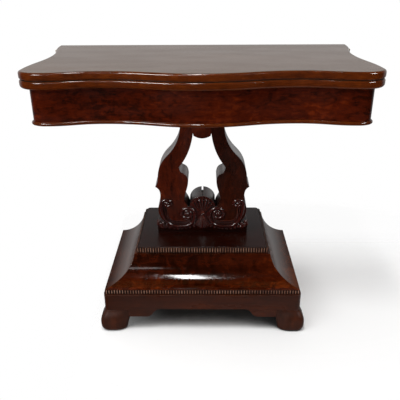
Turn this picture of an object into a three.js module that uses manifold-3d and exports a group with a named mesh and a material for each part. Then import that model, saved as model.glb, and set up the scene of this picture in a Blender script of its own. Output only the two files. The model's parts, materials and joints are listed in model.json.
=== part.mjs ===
// Fold over card table: two serpentine leaves that swivel and unfold, on a lyre pedestal and a coved plinth
// Lengths are millimetres, +X is to the sitter's right, +Y goes to the back and +Z is up
// The origin is on the floor, in the middle of the closed table
import * as THREE from 'three';
import { mergeVertices } from 'three/addons/utils/BufferGeometryUtils.js';
import Module from 'manifold-3d';

const wasm = await Module();
wasm.setup();

// Clearances
const gap = 0.3;
const overrun = 5;
const boreClearance = 0.5;

// Top
const tableHeight = 737;
const leafWidth = 906;
const leafDepth = 484;
const leafThick = 21;
const leafEaseRadius = 3;
const upperTopRadius = 5;
const lowerUnderRadius = 9;
const topOverhang = 22;
const topEdgeShares = {
  fold: [1.011, 0],
  waist: [0.951, 0.42],
  tip: [1, 0.872],
  corner: [0.872, 0.969],
  hollow: [0.54, 0.925],
  bulge: [0, 1],
};
const easeShare = 0.45;
const cornerEaseShare = 0.55;
const railJointShare = 0.78;
const insetToleranceShare = 0.99;
const sideSteps = 5;
const cornerSteps = 6;
const frontSteps = 6;
const roundSteps = 3;

// Leaf hinges, let into the ends of the fold
const knuckleRadius = 4.5;
const hingePlateLength = 58;
const hingePlateHeight = 8;
const hingePlateThick = 5;
const hingeEyeDrop = 2;
const hingePinRadius = 1.5;
const hingeRoundSteps = 16;

// Swivel
const pivotPlateSize = 70;
const pivotPlateThick = 4;
const pivotBoltRadius = 6;
const pivotWasherRadius = 16;
const pivotWasherThick = 2.5;
const pivotNutWidth = 19;
const pivotNutHeight = 10;
const pivotTail = 3;
const stopHeight = 16;
const stopWidth = 20;
const stopDepth = 16;
const boltSteps = 20;
const nutSides = 6;

// Frame under the leaves
const railHeight = 94.4;
const railThick = 22;
const beadHeight = 10;
const beadProud = 5;
const beadSteps = 5;
const pivotRailThick = 25;
const bearerWidth = 200;
const bearerThick = 25;
const wellBoardThick = 12;
const frameBlockSize = 46;
const frameBlockHeight = 50;

// Plinth
const footLead = 22;
const footHeight = 66;
const footWidth = 68;
const footProud = 13;
const footRoundShare = 0.2;
const footCornerSteps = 6;
const skirtWidth = 563;
const skirtDepth = 365;
const skirtTop = 118;
const skirtThick = 22;
const skirtCornerRadius = 14;
const skirtLip = 44;
const skirtArch = 70;
const skirtLipLength = 54;
const skirtOgeeLength = 36;
const backSkirtDrop = 52;
const skirtSteps = 6;
const plinthBlockSize = 42;
const baseBoardThick = 13.2;
const coveLedge = 5;
const coveLip = 2.5;
const coveRun = 79;
const coveRise = 82;
const coveTop = 204.5;
const coveBase = 100;
const coveSteps = 14;
const plinthBackThick = 18;
const platformThick = 16;
const platformInset = 5.5;
const rippleThick = 3.5;
const rippleProud = 2.5;
const basePitch = 6.8;
const platformPitch = 5.2;

// Lyre
const lyreHalfWidth = 140;
const lyreThick = 80;
const lyreSetback = 3.5;
const lyreBlockHeight = 31;
const lyreBlockWidth = 274;
const lyreBlockSetback = 2;
const pendantSag = 10;
const pendantHeight = 70;
const pendantSetback = 2;
const shellHalfWidth = 38.5;
const shellRadius = 40;
const shellCentre = 47;
const cleftWidth = 6;
const cleftDepth = 12;
const lyreSteps = 7;
const lyreOuterShares = [
  [[0.45, 0.756], [0.6, 0.672], [0.729, 0.621]],
  [[0.857, 0.569], [0.936, 0.506], [0.94, 0.42]],
  [[0.94, 0.389], [0.959, 0.362], [1, 0.339]],
  [[0.938, 0.328], [0.901, 0.304], [0.898, 0.267]],
  [[0.899, 0.229], [0.916, 0.19], [0.95, 0.149]],
  [[0.971, 0.089], [0.914, 0.017], [0.764, 0]],
];
const lyreInnerShares = [
  [[0.329, 0.164], [0.379, 0.181], [0.386, 0.21]],
  [[0.386, 0.282], [0.3, 0.325], [0.3, 0.391]],
  [[0.305, 0.431], [0.341, 0.455], [0.407, 0.464]],
  [[0.45, 0.471], [0.477, 0.489], [0.488, 0.52]],
  [[0.329, 0.592], [0.196, 0.713], [0.182, 0.851]],
];
const lyreShoulderShare = [0.45, 0.885];
const lyreValleyShare = 0.164;

// Carving on the foot of the lyre
const rimWidth = 6.5;
const rimProud = 8;
const rimBedding = 1;
const rimSides = 8;
const rimTurnSteps = 15;
const rimBodySteps = 9;
const scrollShares = {
  outerEye: [0.786, 0.19],
  innerEye: [0.321, 0.1],
  bottom: [0.543, -0.03],
};
const outerVoluteRadius = 19;
const outerVoluteTurns = 1.3;
const innerVoluteRadius = 22.5;
const innerVoluteTurns = 1.55;
const voluteEndRadius = 6;
const scrollEase = 36;
const fluteCount = 7;
const fluteSpreadDegrees = 74;
const fluteLength = 52;
const fluteWidth = 11;
const fluteRoot = 5;
const fluteSides = 8;
const fluteHub = 36;
const featherCount = 5;
const featherSpreadDegrees = 56;
const featherLength = 52;
const featherWidth = 11;
const fluteShapeShares = [[0, 0], [0.26, 0.12], [0.5, 0.5], [0.8, 0.8], [1, 0.93], [0.62, 0.985], [0, 1]];

const seamHeight = tableHeight - leafThick;
const lowerLeafBottom = seamHeight - gap - leafThick;
const frameTop = lowerLeafBottom - gap;
const frameBottom = frameTop - railHeight;
const overallDepth = footLead + leafDepth + knuckleRadius;
const foldY = overallDepth / 2 - knuckleRadius;
const frontY = foldY - leafDepth;
const leafBackY = foldY - gap / 2;
const frameBack = foldY - topOverhang;
const frameMiddle = foldY - leafDepth / 2;
const railJointY = foldY - leafDepth * railJointShare;
const pivotX = (foldY - frameMiddle) / 2;
const pivotY = (foldY + frameMiddle) / 2;
const pivotRailHalf = frameBack - railThick - pivotY - stopDepth - 2 * gap;
const plinthFront = -overallDepth / 2 + footProud;
const plinthBack = plinthFront + skirtDepth;
const baseBoardBottom = skirtTop + gap;
const coveBottom = baseBoardBottom + baseBoardThick + gap;
const coveHalf = skirtWidth / 2 - coveLedge;
const coveFront = plinthFront + coveLedge;
const platformBottom = coveTop + gap;
const platformTop = platformBottom + platformThick;
const lyreBlockBottom = platformTop + gap;
const lyreBottom = lyreBlockBottom + lyreBlockHeight + gap;
const lyreTop = frameBottom - gap;
const lyreHeight = lyreTop - lyreBottom;
const platformFront = coveFront + coveRun + platformInset;
const platformHalf = coveHalf - coveRun - platformInset;
const lyreFront = (platformFront + plinthBack - lyreThick) / 2 + lyreSetback;
const lyreBack = lyreFront + lyreThick;

const polished = { color: 0x5e2412, roughness: 0.22, metalness: 0 };
const carved = { color: 0x4a160d, roughness: 0.32, metalness: 0 };
const pine = { color: 0xa9794a, roughness: 0.75, metalness: 0 };
const brass = { color: 0xa9843c, roughness: 0.35, metalness: 1 };
const iron = { color: 0x3a3836, roughness: 0.55, metalness: 1 };

const table = new THREE.Group();

function add(name, geometry, finish) {
  const mesh = new THREE.Mesh(geometry, new THREE.MeshStandardMaterial(finish));
  mesh.name = name;
  table.add(mesh);
}

function arcPoints(x, y, radius, from, to, steps) {
  const points = [];
  for (let k = 0; k <= steps; k += 1) {
    const turn = from + (to - from) * (k / steps);
    points.push(new THREE.Vector2(x + radius * Math.cos(turn), y + radius * Math.sin(turn)));
  }
  return points;
}

// Solids and their cuts
function positionsOnly(geometry) {
  const copy = geometry.clone();
  copy.deleteAttribute('normal');
  copy.deleteAttribute('uv');
  return mergeVertices(copy);
}

function toSolid(geometry) {
  const merged = positionsOnly(geometry);
  const vertProperties = new Float32Array(merged.attributes.position.array);
  const triVerts = new Uint32Array(merged.index.array);
  return new wasm.Manifold(new wasm.Mesh({ numProp: 3, vertProperties, triVerts }));
}

function toGeometry(solid) {
  const mesh = solid.getMesh();
  const geometry = new THREE.BufferGeometry();
  geometry.setAttribute('position', new THREE.BufferAttribute(new Float32Array(mesh.vertProperties), 3));
  geometry.setIndex(new THREE.BufferAttribute(new Uint32Array(mesh.triVerts), 1));
  geometry.computeVertexNormals();
  return geometry;
}

function enclosedVolume(geometry) {
  const place = geometry.attributes.position;
  const corners = [new THREE.Vector3(), new THREE.Vector3(), new THREE.Vector3()];
  let sum = 0;
  for (let k = 0; k < geometry.index.count; k += 3) {
    corners.forEach((corner, j) => corner.fromBufferAttribute(place, geometry.index.getX(k + j)));
    sum += corners[0].dot(corners[1].cross(corners[2]));
  }
  return sum;
}

function facingOut(geometry) {
  if (enclosedVolume(geometry) < 0) {
    geometry.setIndex(Array.from(geometry.index.array).reverse());
  }
  geometry.computeVertexNormals();
  return geometry;
}

function mirrored(geometry) {
  const copy = positionsOnly(geometry);
  copy.applyMatrix4(new THREE.Matrix4().makeScale(-1, 1, 1));
  return facingOut(copy);
}

function block(x0, x1, y0, y1, z0, z1) {
  const geometry = new THREE.BoxGeometry(x1 - x0, y1 - y0, z1 - z0);
  return geometry.translate((x0 + x1) / 2, (y0 + y1) / 2, (z0 + z1) / 2);
}

// A solid skin over rings that all have the same number of points
function loft(rings, capOutline) {
  const count = rings[0].length;
  const index = [];
  rings.slice(1).forEach((ring, r) => {
    for (let k = 0; k < count; k += 1) {
      const a = r * count + k;
      const b = r * count + ((k + 1) % count);
      index.push(a, b, b + count, a, b + count, a + count);
    }
  });
  const last = (rings.length - 1) * count;
  const clockwise = THREE.ShapeUtils.isClockWise(capOutline);
  THREE.ShapeUtils.triangulateShape(capOutline, []).forEach((face) => {
    const [a, b, c] = clockwise ? [...face].reverse() : face;
    index.push(c, b, a, last + a, last + b, last + c);
  });
  const geometry = new THREE.BufferGeometry();
  const places = rings.flat().flatMap((p) => [p.x, p.y, p.z]);
  geometry.setAttribute('position', new THREE.Float32BufferAttribute(places, 3));
  geometry.setIndex(index);
  return facingOut(geometry);
}

function prism(outline, depth) {
  return new THREE.ExtrudeGeometry(new THREE.Shape(outline), { depth, bevelEnabled: false });
}

function uprightPrism(outline, z0, z1) {
  return prism(outline, z1 - z0).translate(0, 0, z0);
}

// An outline drawn in X and Z, carried from y0 back to y1
function frontPrism(outline, y0, y1) {
  return prism(outline, y1 - y0).rotateX(Math.PI / 2).translate(0, y1, 0);
}

// An outline drawn in Y and Z, carried from x0 across to x1
function sidePrism(outline, x0, x1) {
  return prism(outline, x1 - x0).rotateX(Math.PI / 2).rotateZ(Math.PI / 2).translate(x0, 0, 0);
}

function rod(radius, length, steps) {
  return new THREE.CylinderGeometry(radius, radius, length, steps);
}

function uprightRod(x, y, z0, z1, radius, steps) {
  return rod(radius, z1 - z0, steps).rotateX(Math.PI / 2).translate(x, y, (z0 + z1) / 2);
}

function crossRod(x0, x1, y, z, radius, steps) {
  return rod(radius, x1 - x0, steps).rotateZ(Math.PI / 2).translate((x0 + x1) / 2, y, z);
}

// The serpentine edge of the top, from the left end of the fold round the front to the right end
function topPoint([across, forward], side) {
  return new THREE.Vector2(side * across * leafWidth / 2, foldY - forward * leafDepth);
}

function easedCurve(from, to, alongFrom, alongTo) {
  const a = from.clone();
  const b = to.clone();
  a[alongFrom.axis] += (to[alongFrom.axis] - from[alongFrom.axis]) * alongFrom.share;
  b[alongTo.axis] += (from[alongTo.axis] - to[alongTo.axis]) * alongTo.share;
  return new THREE.CubicBezierCurve(from, a, b, to);
}

function rightEdgeCurves() {
  const at = (name) => topPoint(topEdgeShares[name], 1);
  const deep = { axis: 'y', share: easeShare };
  const wide = { axis: 'x', share: easeShare };
  const deepCorner = { axis: 'y', share: cornerEaseShare };
  const wideCorner = { axis: 'x', share: cornerEaseShare };
  return [
    { curve: easedCurve(at('bulge'), at('hollow'), wide, wide), steps: frontSteps },
    { curve: easedCurve(at('hollow'), at('corner'), wide, wide), steps: frontSteps },
    { curve: easedCurve(at('corner'), at('tip'), wideCorner, deepCorner), steps: cornerSteps },
    { curve: easedCurve(at('tip'), at('waist'), deep, deep), steps: sideSteps },
    { curve: easedCurve(at('waist'), at('fold'), deep, deep), steps: sideSteps },
  ];
}

function rightEdge() {
  const stations = [];
  rightEdgeCurves().forEach(({ curve, steps }, n) => {
    for (let k = n === 0 ? 0 : 1; k <= steps; k += 1) {
      const tangent = curve.getTangent(k / steps);
      stations.push({ p: curve.getPoint(k / steps), n: new THREE.Vector2(tangent.y, -tangent.x) });
    }
  });
  return stations;
}

function wholeEdge() {
  const right = rightEdge();
  const left = right.slice(1).reverse().map(({ p, n }) => (
    { p: new THREE.Vector2(-p.x, p.y), n: new THREE.Vector2(-n.x, n.y) }
  ));
  return [...left, ...right];
}

function topOutline(inset) {
  const outline = wholeEdge().map(({ p, n }) => new THREE.Vector2(p.x - n.x * inset, p.y - n.y * inset));
  outline[0].y = leafBackY;
  outline[outline.length - 1].y = leafBackY;
  return outline;
}

// An outline set in past the tight front corners, without the points that would cross over there
function clearOutline(inset) {
  const edge = wholeEdge().map(({ p }) => p);
  return topOutline(inset).filter((point) => {
    const near = edge.slice(1).map((end, k) => distanceToRun(point, edge[k], end));
    return Math.min(...near) > inset * insetToleranceShare;
  });
}

function distanceToRun(point, from, to) {
  const run = to.clone().sub(from);
  const share = THREE.MathUtils.clamp(point.clone().sub(from).dot(run) / run.lengthSq(), 0, 1);
  return point.distanceTo(from.clone().addScaledVector(run, share));
}

function framePrism(inset, z0, z1) {
  return toSolid(uprightPrism(clearOutline(inset), z0, z1));
}

// Leaves, moulded on the front and the two sides and square along the fold
function edgeProfile(bottom, lowerRadius, upperRadius) {
  const steps = [];
  for (let k = 0; k <= roundSteps; k += 1) {
    const turn = (k / roundSteps) * Math.PI / 2;
    steps.push([lowerRadius * (1 - Math.sin(turn)), bottom + lowerRadius * (1 - Math.cos(turn))]);
  }
  for (let k = 0; k <= roundSteps; k += 1) {
    const turn = (k / roundSteps) * Math.PI / 2;
    steps.push([upperRadius * (1 - Math.cos(turn)), bottom + leafThick - upperRadius * (1 - Math.sin(turn))]);
  }
  return steps;
}

function leafSlab(bottom, lowerRadius, upperRadius) {
  const rings = edgeProfile(bottom, lowerRadius, upperRadius).map(([inset, z]) => (
    topOutline(inset).map((p) => new THREE.Vector3(p.x, p.y, z))
  ));
  return toSolid(loft(rings, topOutline(0)));
}

const hingeX = topPoint(topEdgeShares.fold, 1).x;
const hingeAxisZ = seamHeight - gap / 2;

// A brass plate in the end of a leaf, with half of the lapped knuckle round the pin
function hingePlate(side, upward) {
  const lap = (hingePlateThick - gap) / 2;
  const outer = hingeX;
  const inner = hingeX - hingePlateThick;
  const eyeInner = upward > 0 ? inner : outer - lap;
  const eyeOuter = upward > 0 ? inner + lap : outer;
  const low = hingeAxisZ + upward * (knuckleRadius + hingeEyeDrop);
  const high = low + upward * hingePlateHeight;
  const front = foldY - hingePlateLength;
  const bar = block(inner, outer, front, foldY - gap, Math.min(low, high), Math.max(low, high));
  const stem = block(eyeInner, eyeOuter, foldY - knuckleRadius, foldY - gap,
    Math.min(hingeAxisZ, high), Math.max(hingeAxisZ, high));
  const eye = crossRod(eyeInner, eyeOuter, foldY, hingeAxisZ, knuckleRadius, hingeRoundSteps);
  const bore = crossRod(inner - overrun, outer + overrun, foldY, hingeAxisZ,
    hingePinRadius + gap, hingeRoundSteps);
  const plate = toSolid(bar).add(toSolid(stem)).add(toSolid(eye)).subtract(toSolid(bore));
  return side > 0 ? toGeometry(plate) : mirrored(toGeometry(plate));
}

function hingeRecess(side, upward) {
  const inner = hingeX - hingePlateThick - gap;
  const outer = hingeX + overrun;
  const far = hingeAxisZ + upward * (knuckleRadius + hingeEyeDrop + hingePlateHeight + gap);
  const near = hingeAxisZ + upward * (knuckleRadius + hingeEyeDrop - gap);
  const front = foldY - hingePlateLength - gap;
  const bar = block(inner, outer, front, foldY + overrun, Math.min(near, far), Math.max(near, far));
  const eye = block(inner, outer, foldY - knuckleRadius - gap, foldY + overrun,
    Math.min(near, hingeAxisZ - upward * overrun), Math.max(near, hingeAxisZ - upward * overrun));
  const recess = toSolid(bar).add(toSolid(eye));
  return side > 0 ? recess : toSolid(mirrored(toGeometry(recess)));
}

function hingePin(side) {
  const inner = hingeX - hingePlateThick;
  const pin = crossRod(inner, hingeX, foldY, hingeAxisZ, hingePinRadius, hingeRoundSteps);
  return side > 0 ? pin : mirrored(pin);
}

function addLeaves() {
  const upper = leafSlab(seamHeight, leafEaseRadius, upperTopRadius);
  const lower = leafSlab(lowerLeafBottom, lowerUnderRadius, leafEaseRadius);
  const plateHalf = pivotPlateSize / 2 + gap;
  const plateTop = lowerLeafBottom + pivotPlateThick + gap;
  const pocket = block(pivotX - plateHalf, pivotX + plateHalf, pivotY - plateHalf, pivotY + plateHalf,
    lowerLeafBottom - overrun, plateTop);
  const cutUpper = upper.subtract(hingeRecess(1, 1)).subtract(hingeRecess(-1, 1));
  const cutLower = lower.subtract(hingeRecess(1, -1)).subtract(hingeRecess(-1, -1)).subtract(toSolid(pocket));
  add('upper_leaf', toGeometry(cutUpper), polished);
  add('lower_leaf', toGeometry(cutLower), polished);
}

function addHinges() {
  [['left', -1], ['right', 1]].forEach(([word, side]) => {
    add(`${word}_hinge_upper_plate`, hingePlate(side, 1), brass);
    add(`${word}_hinge_lower_plate`, hingePlate(side, -1), brass);
    add(`${word}_hinge_pin`, hingePin(side), brass);
  });
}

// The swivel: a plate and bolt under the lower leaf, held down by a washer and nut below the pivot rail
const pivotRailBottom = frameTop - pivotRailThick;
const washerBottom = pivotRailBottom - gap - pivotWasherThick;
const nutBottom = washerBottom - gap - pivotNutHeight;

function addSwivel() {
  const half = pivotPlateSize / 2;
  const plateTop = lowerLeafBottom + pivotPlateThick;
  const washerTop = washerBottom + pivotWasherThick;
  const nutTop = nutBottom + pivotNutHeight;
  const disc = (z0, z1, radius, steps) => uprightRod(pivotX, pivotY, z0, z1, radius, steps);
  const hole = toSolid(disc(nutBottom - overrun, plateTop + overrun, pivotBoltRadius + gap, boltSteps));
  const plate = block(pivotX - half, pivotX + half, pivotY - half, pivotY + half, lowerLeafBottom, plateTop);
  const washer = disc(washerBottom, washerTop, pivotWasherRadius, boltSteps);
  const nut = disc(nutBottom, nutTop, pivotNutWidth / Math.sqrt(3), nutSides);
  add('pivot_plate', toGeometry(toSolid(plate).subtract(hole)), iron);
  add('pivot_bolt', disc(nutBottom - pivotTail, plateTop, pivotBoltRadius, boltSteps), iron);
  add('pivot_washer', toGeometry(toSolid(washer).subtract(hole)), iron);
  add('pivot_nut', toGeometry(toSolid(nut).subtract(hole)), iron);
}

// A block under the lower leaf meets the back rail when closed and the pivot rail after a quarter turn
function addSwivelStop() {
  const railFace = pivotRailHalf + gap;
  const stop = block(pivotX - railFace - stopWidth, pivotX - railFace,
    pivotY + railFace, pivotY + railFace + stopDepth,
    lowerLeafBottom - gap - stopHeight, lowerLeafBottom - gap);
  add('swivel_stop', stop, pine);
}

// Frame
function frameZone(name) {
  const far = leafWidth;
  const zones = {
    front: [-far, far, frontY - far, railJointY - gap / 2],
    left: [-far, -gap, railJointY + gap / 2, frameBack],
    right: [gap, far, railJointY + gap / 2, frameBack],
  };
  const [x0, x1, y0, y1] = zones[name];
  return toSolid(block(x0, x1, y0, y1, 0, tableHeight));
}

function addRails() {
  const inner = framePrism(topOverhang + railThick, frameBottom - overrun, frameTop + overrun);
  const ring = framePrism(topOverhang, frameBottom, frameTop).subtract(inner);
  ['front', 'left', 'right'].forEach((name) => {
    add(`${name}_rail`, toGeometry(ring.intersect(frameZone(name))), polished);
  });
  const backInner = frameBack - railThick;
  const reach = block(-leafWidth, leafWidth, backInner, frameBack, frameBottom, frameTop);
  add('back_rail', toGeometry(insideFrame(reach)), polished);
}

function insideFrame(geometry) {
  const hollow = framePrism(topOverhang + railThick + gap, 0, tableHeight);
  return hollow.intersect(toSolid(geometry));
}

function beadSection() {
  const section = [];
  for (let k = 0; k <= beadSteps; k += 1) {
    const turn = (k / beadSteps) * Math.PI;
    section.push([beadProud * Math.sin(turn), frameBottom + beadHeight * (1 - Math.cos(turn)) / 2]);
  }
  return section;
}

function addBeads() {
  const section = beadSection();
  const cap = section.map(([out, z]) => new THREE.Vector2(out, z));
  const rings = wholeEdge().map(({ p, n }) => section.map(([out, z]) => {
    const shift = out + gap - topOverhang;
    return new THREE.Vector3(p.x + n.x * shift, p.y + n.y * shift, z);
  }));
  const bead = toSolid(loft(rings, cap));
  ['front', 'left', 'right'].forEach((name) => {
    add(`${name}_bead`, toGeometry(bead.intersect(frameZone(name))), polished);
  });
}

function addFrameFloor() {
  const backInner = frameBack - railThick - gap;
  const floorTop = frameBottom + bearerThick;
  const half = bearerWidth / 2;
  const bearer = block(-half, half, -leafDepth, backInner, frameBottom, floorTop);
  add('centre_bearer', toGeometry(insideFrame(bearer)), pine);
  const boardBottom = floorTop - wellBoardThick;
  const left = block(-leafWidth, -half - gap, -leafDepth, backInner, boardBottom, floorTop);
  const right = block(half + gap, leafWidth, -leafDepth, backInner, boardBottom, floorTop);
  add('left_well_board', toGeometry(insideFrame(left)), pine);
  add('right_well_board', toGeometry(insideFrame(right)), pine);
}

function addPivotRail() {
  const backInner = frameBack - railThick - gap;
  const plank = block(pivotX - pivotRailHalf, pivotX + pivotRailHalf, -leafDepth, backInner,
    pivotRailBottom, frameTop);
  const bore = uprightRod(pivotX, pivotY, pivotRailBottom - overrun, frameTop + overrun,
    pivotBoltRadius + boreClearance, boltSteps);
  add('pivot_rail', toGeometry(insideFrame(plank).subtract(toSolid(bore))), pine);
}

function addFrameBlocks() {
  const bottom = frameBottom + bearerThick + gap;
  const top = bottom + frameBlockHeight;
  const backInner = frameBack - railThick - gap;
  const sideX = waistInside();
  [['left', -1], ['right', 1]].forEach(([word, side]) => {
    const x0 = side > 0 ? sideX - frameBlockSize : -leafWidth;
    const x1 = side > 0 ? leafWidth : frameBlockSize - sideX;
    const back = block(x0, x1, backInner - frameBlockSize, backInner, bottom, top);
    const front = block(x0, x1, -leafDepth, railJointY + frameBlockSize / 2, bottom, top);
    add(`back_${word}_frame_block`, toGeometry(insideFrame(back)), pine);
    add(`front_${word}_frame_block`, toGeometry(insideFrame(front)), pine);
  });
}

function waistInside() {
  return topPoint(topEdgeShares.waist, 1).x - topOverhang - railThick;
}

// Lyre
function lyrePoint([across, up]) {
  return new THREE.Vector2(across * lyreHalfWidth, lyreBottom + up * lyreHeight);
}

function curvedRun(start, segmentShares) {
  const points = [];
  let from = start;
  segmentShares.forEach((segment) => {
    const [a, b, to] = segment.map(lyrePoint);
    points.push(...new THREE.CubicBezierCurve(from, a, b, to).getPoints(lyreSteps).slice(1));
    from = to;
  });
  return points;
}

function supportOutline() {
  const shoulder = lyrePoint(lyreShoulderShare);
  const inner = shellHalfWidth + gap;
  const valley = new THREE.Vector2(inner, lyreBottom + lyreValleyShare * lyreHeight);
  const outerRun = curvedRun(shoulder, lyreOuterShares);
  const innerRun = curvedRun(valley, lyreInnerShares);
  const neck = innerRun[innerRun.length - 1];
  return [
    new THREE.Vector2(shoulder.x, lyreTop),
    shoulder,
    ...outerRun,
    new THREE.Vector2(inner, lyreBottom),
    valley,
    ...innerRun,
    new THREE.Vector2(neck.x, lyreTop),
  ];
}

// The raised rim of a C-scroll: a small volute, a long sweep and a larger volute, all curling the same way
function spiral(centre, startAngle, direction, startRadius, turns) {
  const steps = Math.round(rimTurnSteps * turns);
  const points = [];
  for (let k = 0; k <= steps; k += 1) {
    const turn = startAngle + direction * (k / steps) * turns * 2 * Math.PI;
    const radius = startRadius + (voluteEndRadius - startRadius) * (k / steps);
    points.push(new THREE.Vector2(centre.x + radius * Math.cos(turn), centre.y + radius * Math.sin(turn)));
  }
  return points;
}

function scrollPath() {
  const outerEye = lyrePoint(scrollShares.outerEye);
  const innerEye = lyrePoint(scrollShares.innerEye);
  const bottom = lyrePoint(scrollShares.bottom);
  const start = new THREE.Vector2(outerEye.x + outerVoluteRadius, outerEye.y);
  const end = new THREE.Vector2(innerEye.x - innerVoluteRadius, innerEye.y);
  const sweepDown = new THREE.CubicBezierCurve(start, new THREE.Vector2(start.x, start.y - scrollEase),
    new THREE.Vector2(bottom.x + scrollEase, bottom.y), bottom);
  const sweepUp = new THREE.CubicBezierCurve(bottom, new THREE.Vector2(bottom.x - scrollEase, bottom.y),
    new THREE.Vector2(end.x, end.y - scrollEase), end);
  return [
    ...spiral(outerEye, 0, 1, outerVoluteRadius, outerVoluteTurns).reverse(),
    ...sweepDown.getPoints(rimBodySteps).slice(1),
    ...sweepUp.getPoints(rimBodySteps).slice(1),
    ...spiral(innerEye, Math.PI, -1, innerVoluteRadius, innerVoluteTurns).slice(1),
  ];
}

function scrollRim() {
  const path = scrollPath();
  const section = [];
  for (let k = 0; k < rimSides; k += 1) {
    const turn = ((k + 0.5) / rimSides) * 2 * Math.PI;
    section.push(new THREE.Vector2(Math.cos(turn), Math.sin(turn)));
  }
  const rings = path.map((p, i) => {
    const before = path[Math.max(i - 1, 0)];
    const after = path[Math.min(i + 1, path.length - 1)];
    const along = after.clone().sub(before).normalize();
    return section.map(({ x, y }) => {
      const out = x * rimWidth / 2;
      const depth = lyreFront + rimBedding - (rimProud + rimBedding) / 2 * (1 + y);
      return new THREE.Vector3(p.x + along.y * out, depth, p.y - along.x * out);
    });
  });
  return loft(rings, section);
}

function addLyre() {
  const body = toSolid(frontPrism(supportOutline(), lyreFront, lyreBack));
  const support = toGeometry(body.add(toSolid(scrollRim())));
  add('right_lyre_support', support, polished);
  add('left_lyre_support', mirrored(support), polished);
  const blockHalf = lyreBlockWidth / 2;
  const foot = block(-blockHalf, blockHalf, lyreFront + lyreBlockSetback, lyreBack,
    lyreBlockBottom, lyreBlockBottom + lyreBlockHeight);
  add('lyre_base_block', foot, polished);
}

function addPendant() {
  const neckShare = lyreInnerShares[lyreInnerShares.length - 1][2];
  const half = lyrePoint(neckShare).x - gap;
  const bottom = lyreTop - pendantHeight;
  const outline = new THREE.Shape();
  outline.moveTo(-half, lyreTop);
  outline.lineTo(-half, bottom);
  outline.quadraticCurveTo(0, bottom - 2 * pendantSag, half, bottom);
  outline.lineTo(half, lyreTop);
  const points = outline.getPoints(lyreSteps + 1);
  add('lyre_pendant', frontPrism(points, lyreFront + pendantSetback, lyreBack - pendantSetback), polished);
}

// The shell and the feather below it, as rounded lobes that fan out from one hub
function lobe(length, width, angle) {
  const profile = fluteShapeShares.map(([out, up]) => (
    new THREE.Vector2(out * width / 2, fluteRoot + up * (length - fluteRoot))
  ));
  const geometry = facingOut(positionsOnly(new THREE.LatheGeometry(profile, fluteSides)));
  return geometry.rotateX(Math.PI / 2).rotateY(angle);
}

function fan(count, spread, length, width, middle) {
  const lobes = [];
  for (let k = 0; k < count; k += 1) {
    const angle = middle + THREE.MathUtils.degToRad(spread) * (k / (count - 1) - 1 / 2);
    lobes.push(lobe(length, width, angle));
  }
  return lobes;
}

function shellOutline() {
  const centre = lyreBottom + shellCentre;
  const start = Math.acos(shellHalfWidth / shellRadius);
  return [
    new THREE.Vector2(shellHalfWidth, lyreBottom),
    ...arcPoints(0, centre, shellRadius, start, Math.PI - start, lyreSteps * 2),
    new THREE.Vector2(-shellHalfWidth, lyreBottom),
  ];
}

function addShell() {
  const front = lyreFront + lyreBlockSetback;
  const crown = lyreBottom + shellCentre + shellRadius;
  const body = toSolid(frontPrism(shellOutline(), front, lyreBack));
  const cleft = block(-cleftWidth / 2, cleftWidth / 2, lyreFront + fluteWidth, lyreBack + overrun,
    crown - cleftDepth, crown + overrun);
  let shell = body.subtract(toSolid(cleft));
  const lobes = [
    ...fan(fluteCount, fluteSpreadDegrees, fluteLength, fluteWidth, 0),
    ...fan(featherCount, featherSpreadDegrees, featherLength, featherWidth, Math.PI),
  ];
  const proud = block(-lyreHalfWidth, lyreHalfWidth, lyreFront - featherWidth, lyreFront - gap,
    lyreBlockBottom, lyreTop);
  const bedded = block(-shellHalfWidth, shellHalfWidth, lyreFront - featherWidth, front + overrun,
    lyreBottom, crown);
  const room = toSolid(proud).add(toSolid(bedded));
  lobes.forEach((piece) => {
    piece.translate(0, lyreFront, lyreBottom + fluteHub);
    shell = shell.add(toSolid(piece).intersect(room));
  });
  add('shell_block', toGeometry(shell), carved);
}

// Ripple strips, reeded across their length
function rippleOutline(length, pitch) {
  const count = Math.round(length / pitch);
  const outline = [new THREE.Vector2(0, 0), new THREE.Vector2(length, 0)];
  for (let k = count; k > 0; k -= 1) {
    outline.push(new THREE.Vector2((k / count) * length, rippleThick));
    outline.push(new THREE.Vector2(((k - 1 / 2) / count) * length, rippleThick + rippleProud));
  }
  outline.push(new THREE.Vector2(0, rippleThick));
  return outline;
}

function addRipples(prefix, half, front, bottom, height, pitch) {
  const reach = rippleThick + rippleProud;
  const frontStrip = uprightPrism(rippleOutline(2 * half, pitch), bottom, bottom + height);
  frontStrip.rotateZ(Math.PI).translate(half, front + reach, 0);
  add(`${prefix}_ripple_front`, frontStrip, polished);
  const sideStart = front + reach + gap;
  const side = uprightPrism(rippleOutline(plinthBack - sideStart, pitch), bottom, bottom + height);
  side.rotateZ(-Math.PI / 2).translate(half - reach, plinthBack, 0);
  add(`${prefix}_ripple_right`, side, polished);
  add(`${prefix}_ripple_left`, mirrored(side), polished);
}

// Cove mouldings, mitred at the two front corners and square at the back
function coveSection() {
  const lipTop = coveBottom + coveLip;
  const centre = lipTop + coveRise;
  const stopAngle = Math.asin((centre - coveTop) / coveRise);
  const section = [new THREE.Vector2(0, coveBottom)];
  for (let k = 0; k <= coveSteps; k += 1) {
    const turn = Math.PI / 2 + (stopAngle - Math.PI / 2) * (k / coveSteps);
    section.push(new THREE.Vector2(coveRun * Math.cos(turn), centre - coveRise * Math.sin(turn)));
  }
  section.push(new THREE.Vector2(coveBase, coveTop), new THREE.Vector2(coveBase, coveBottom));
  return section;
}

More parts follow.
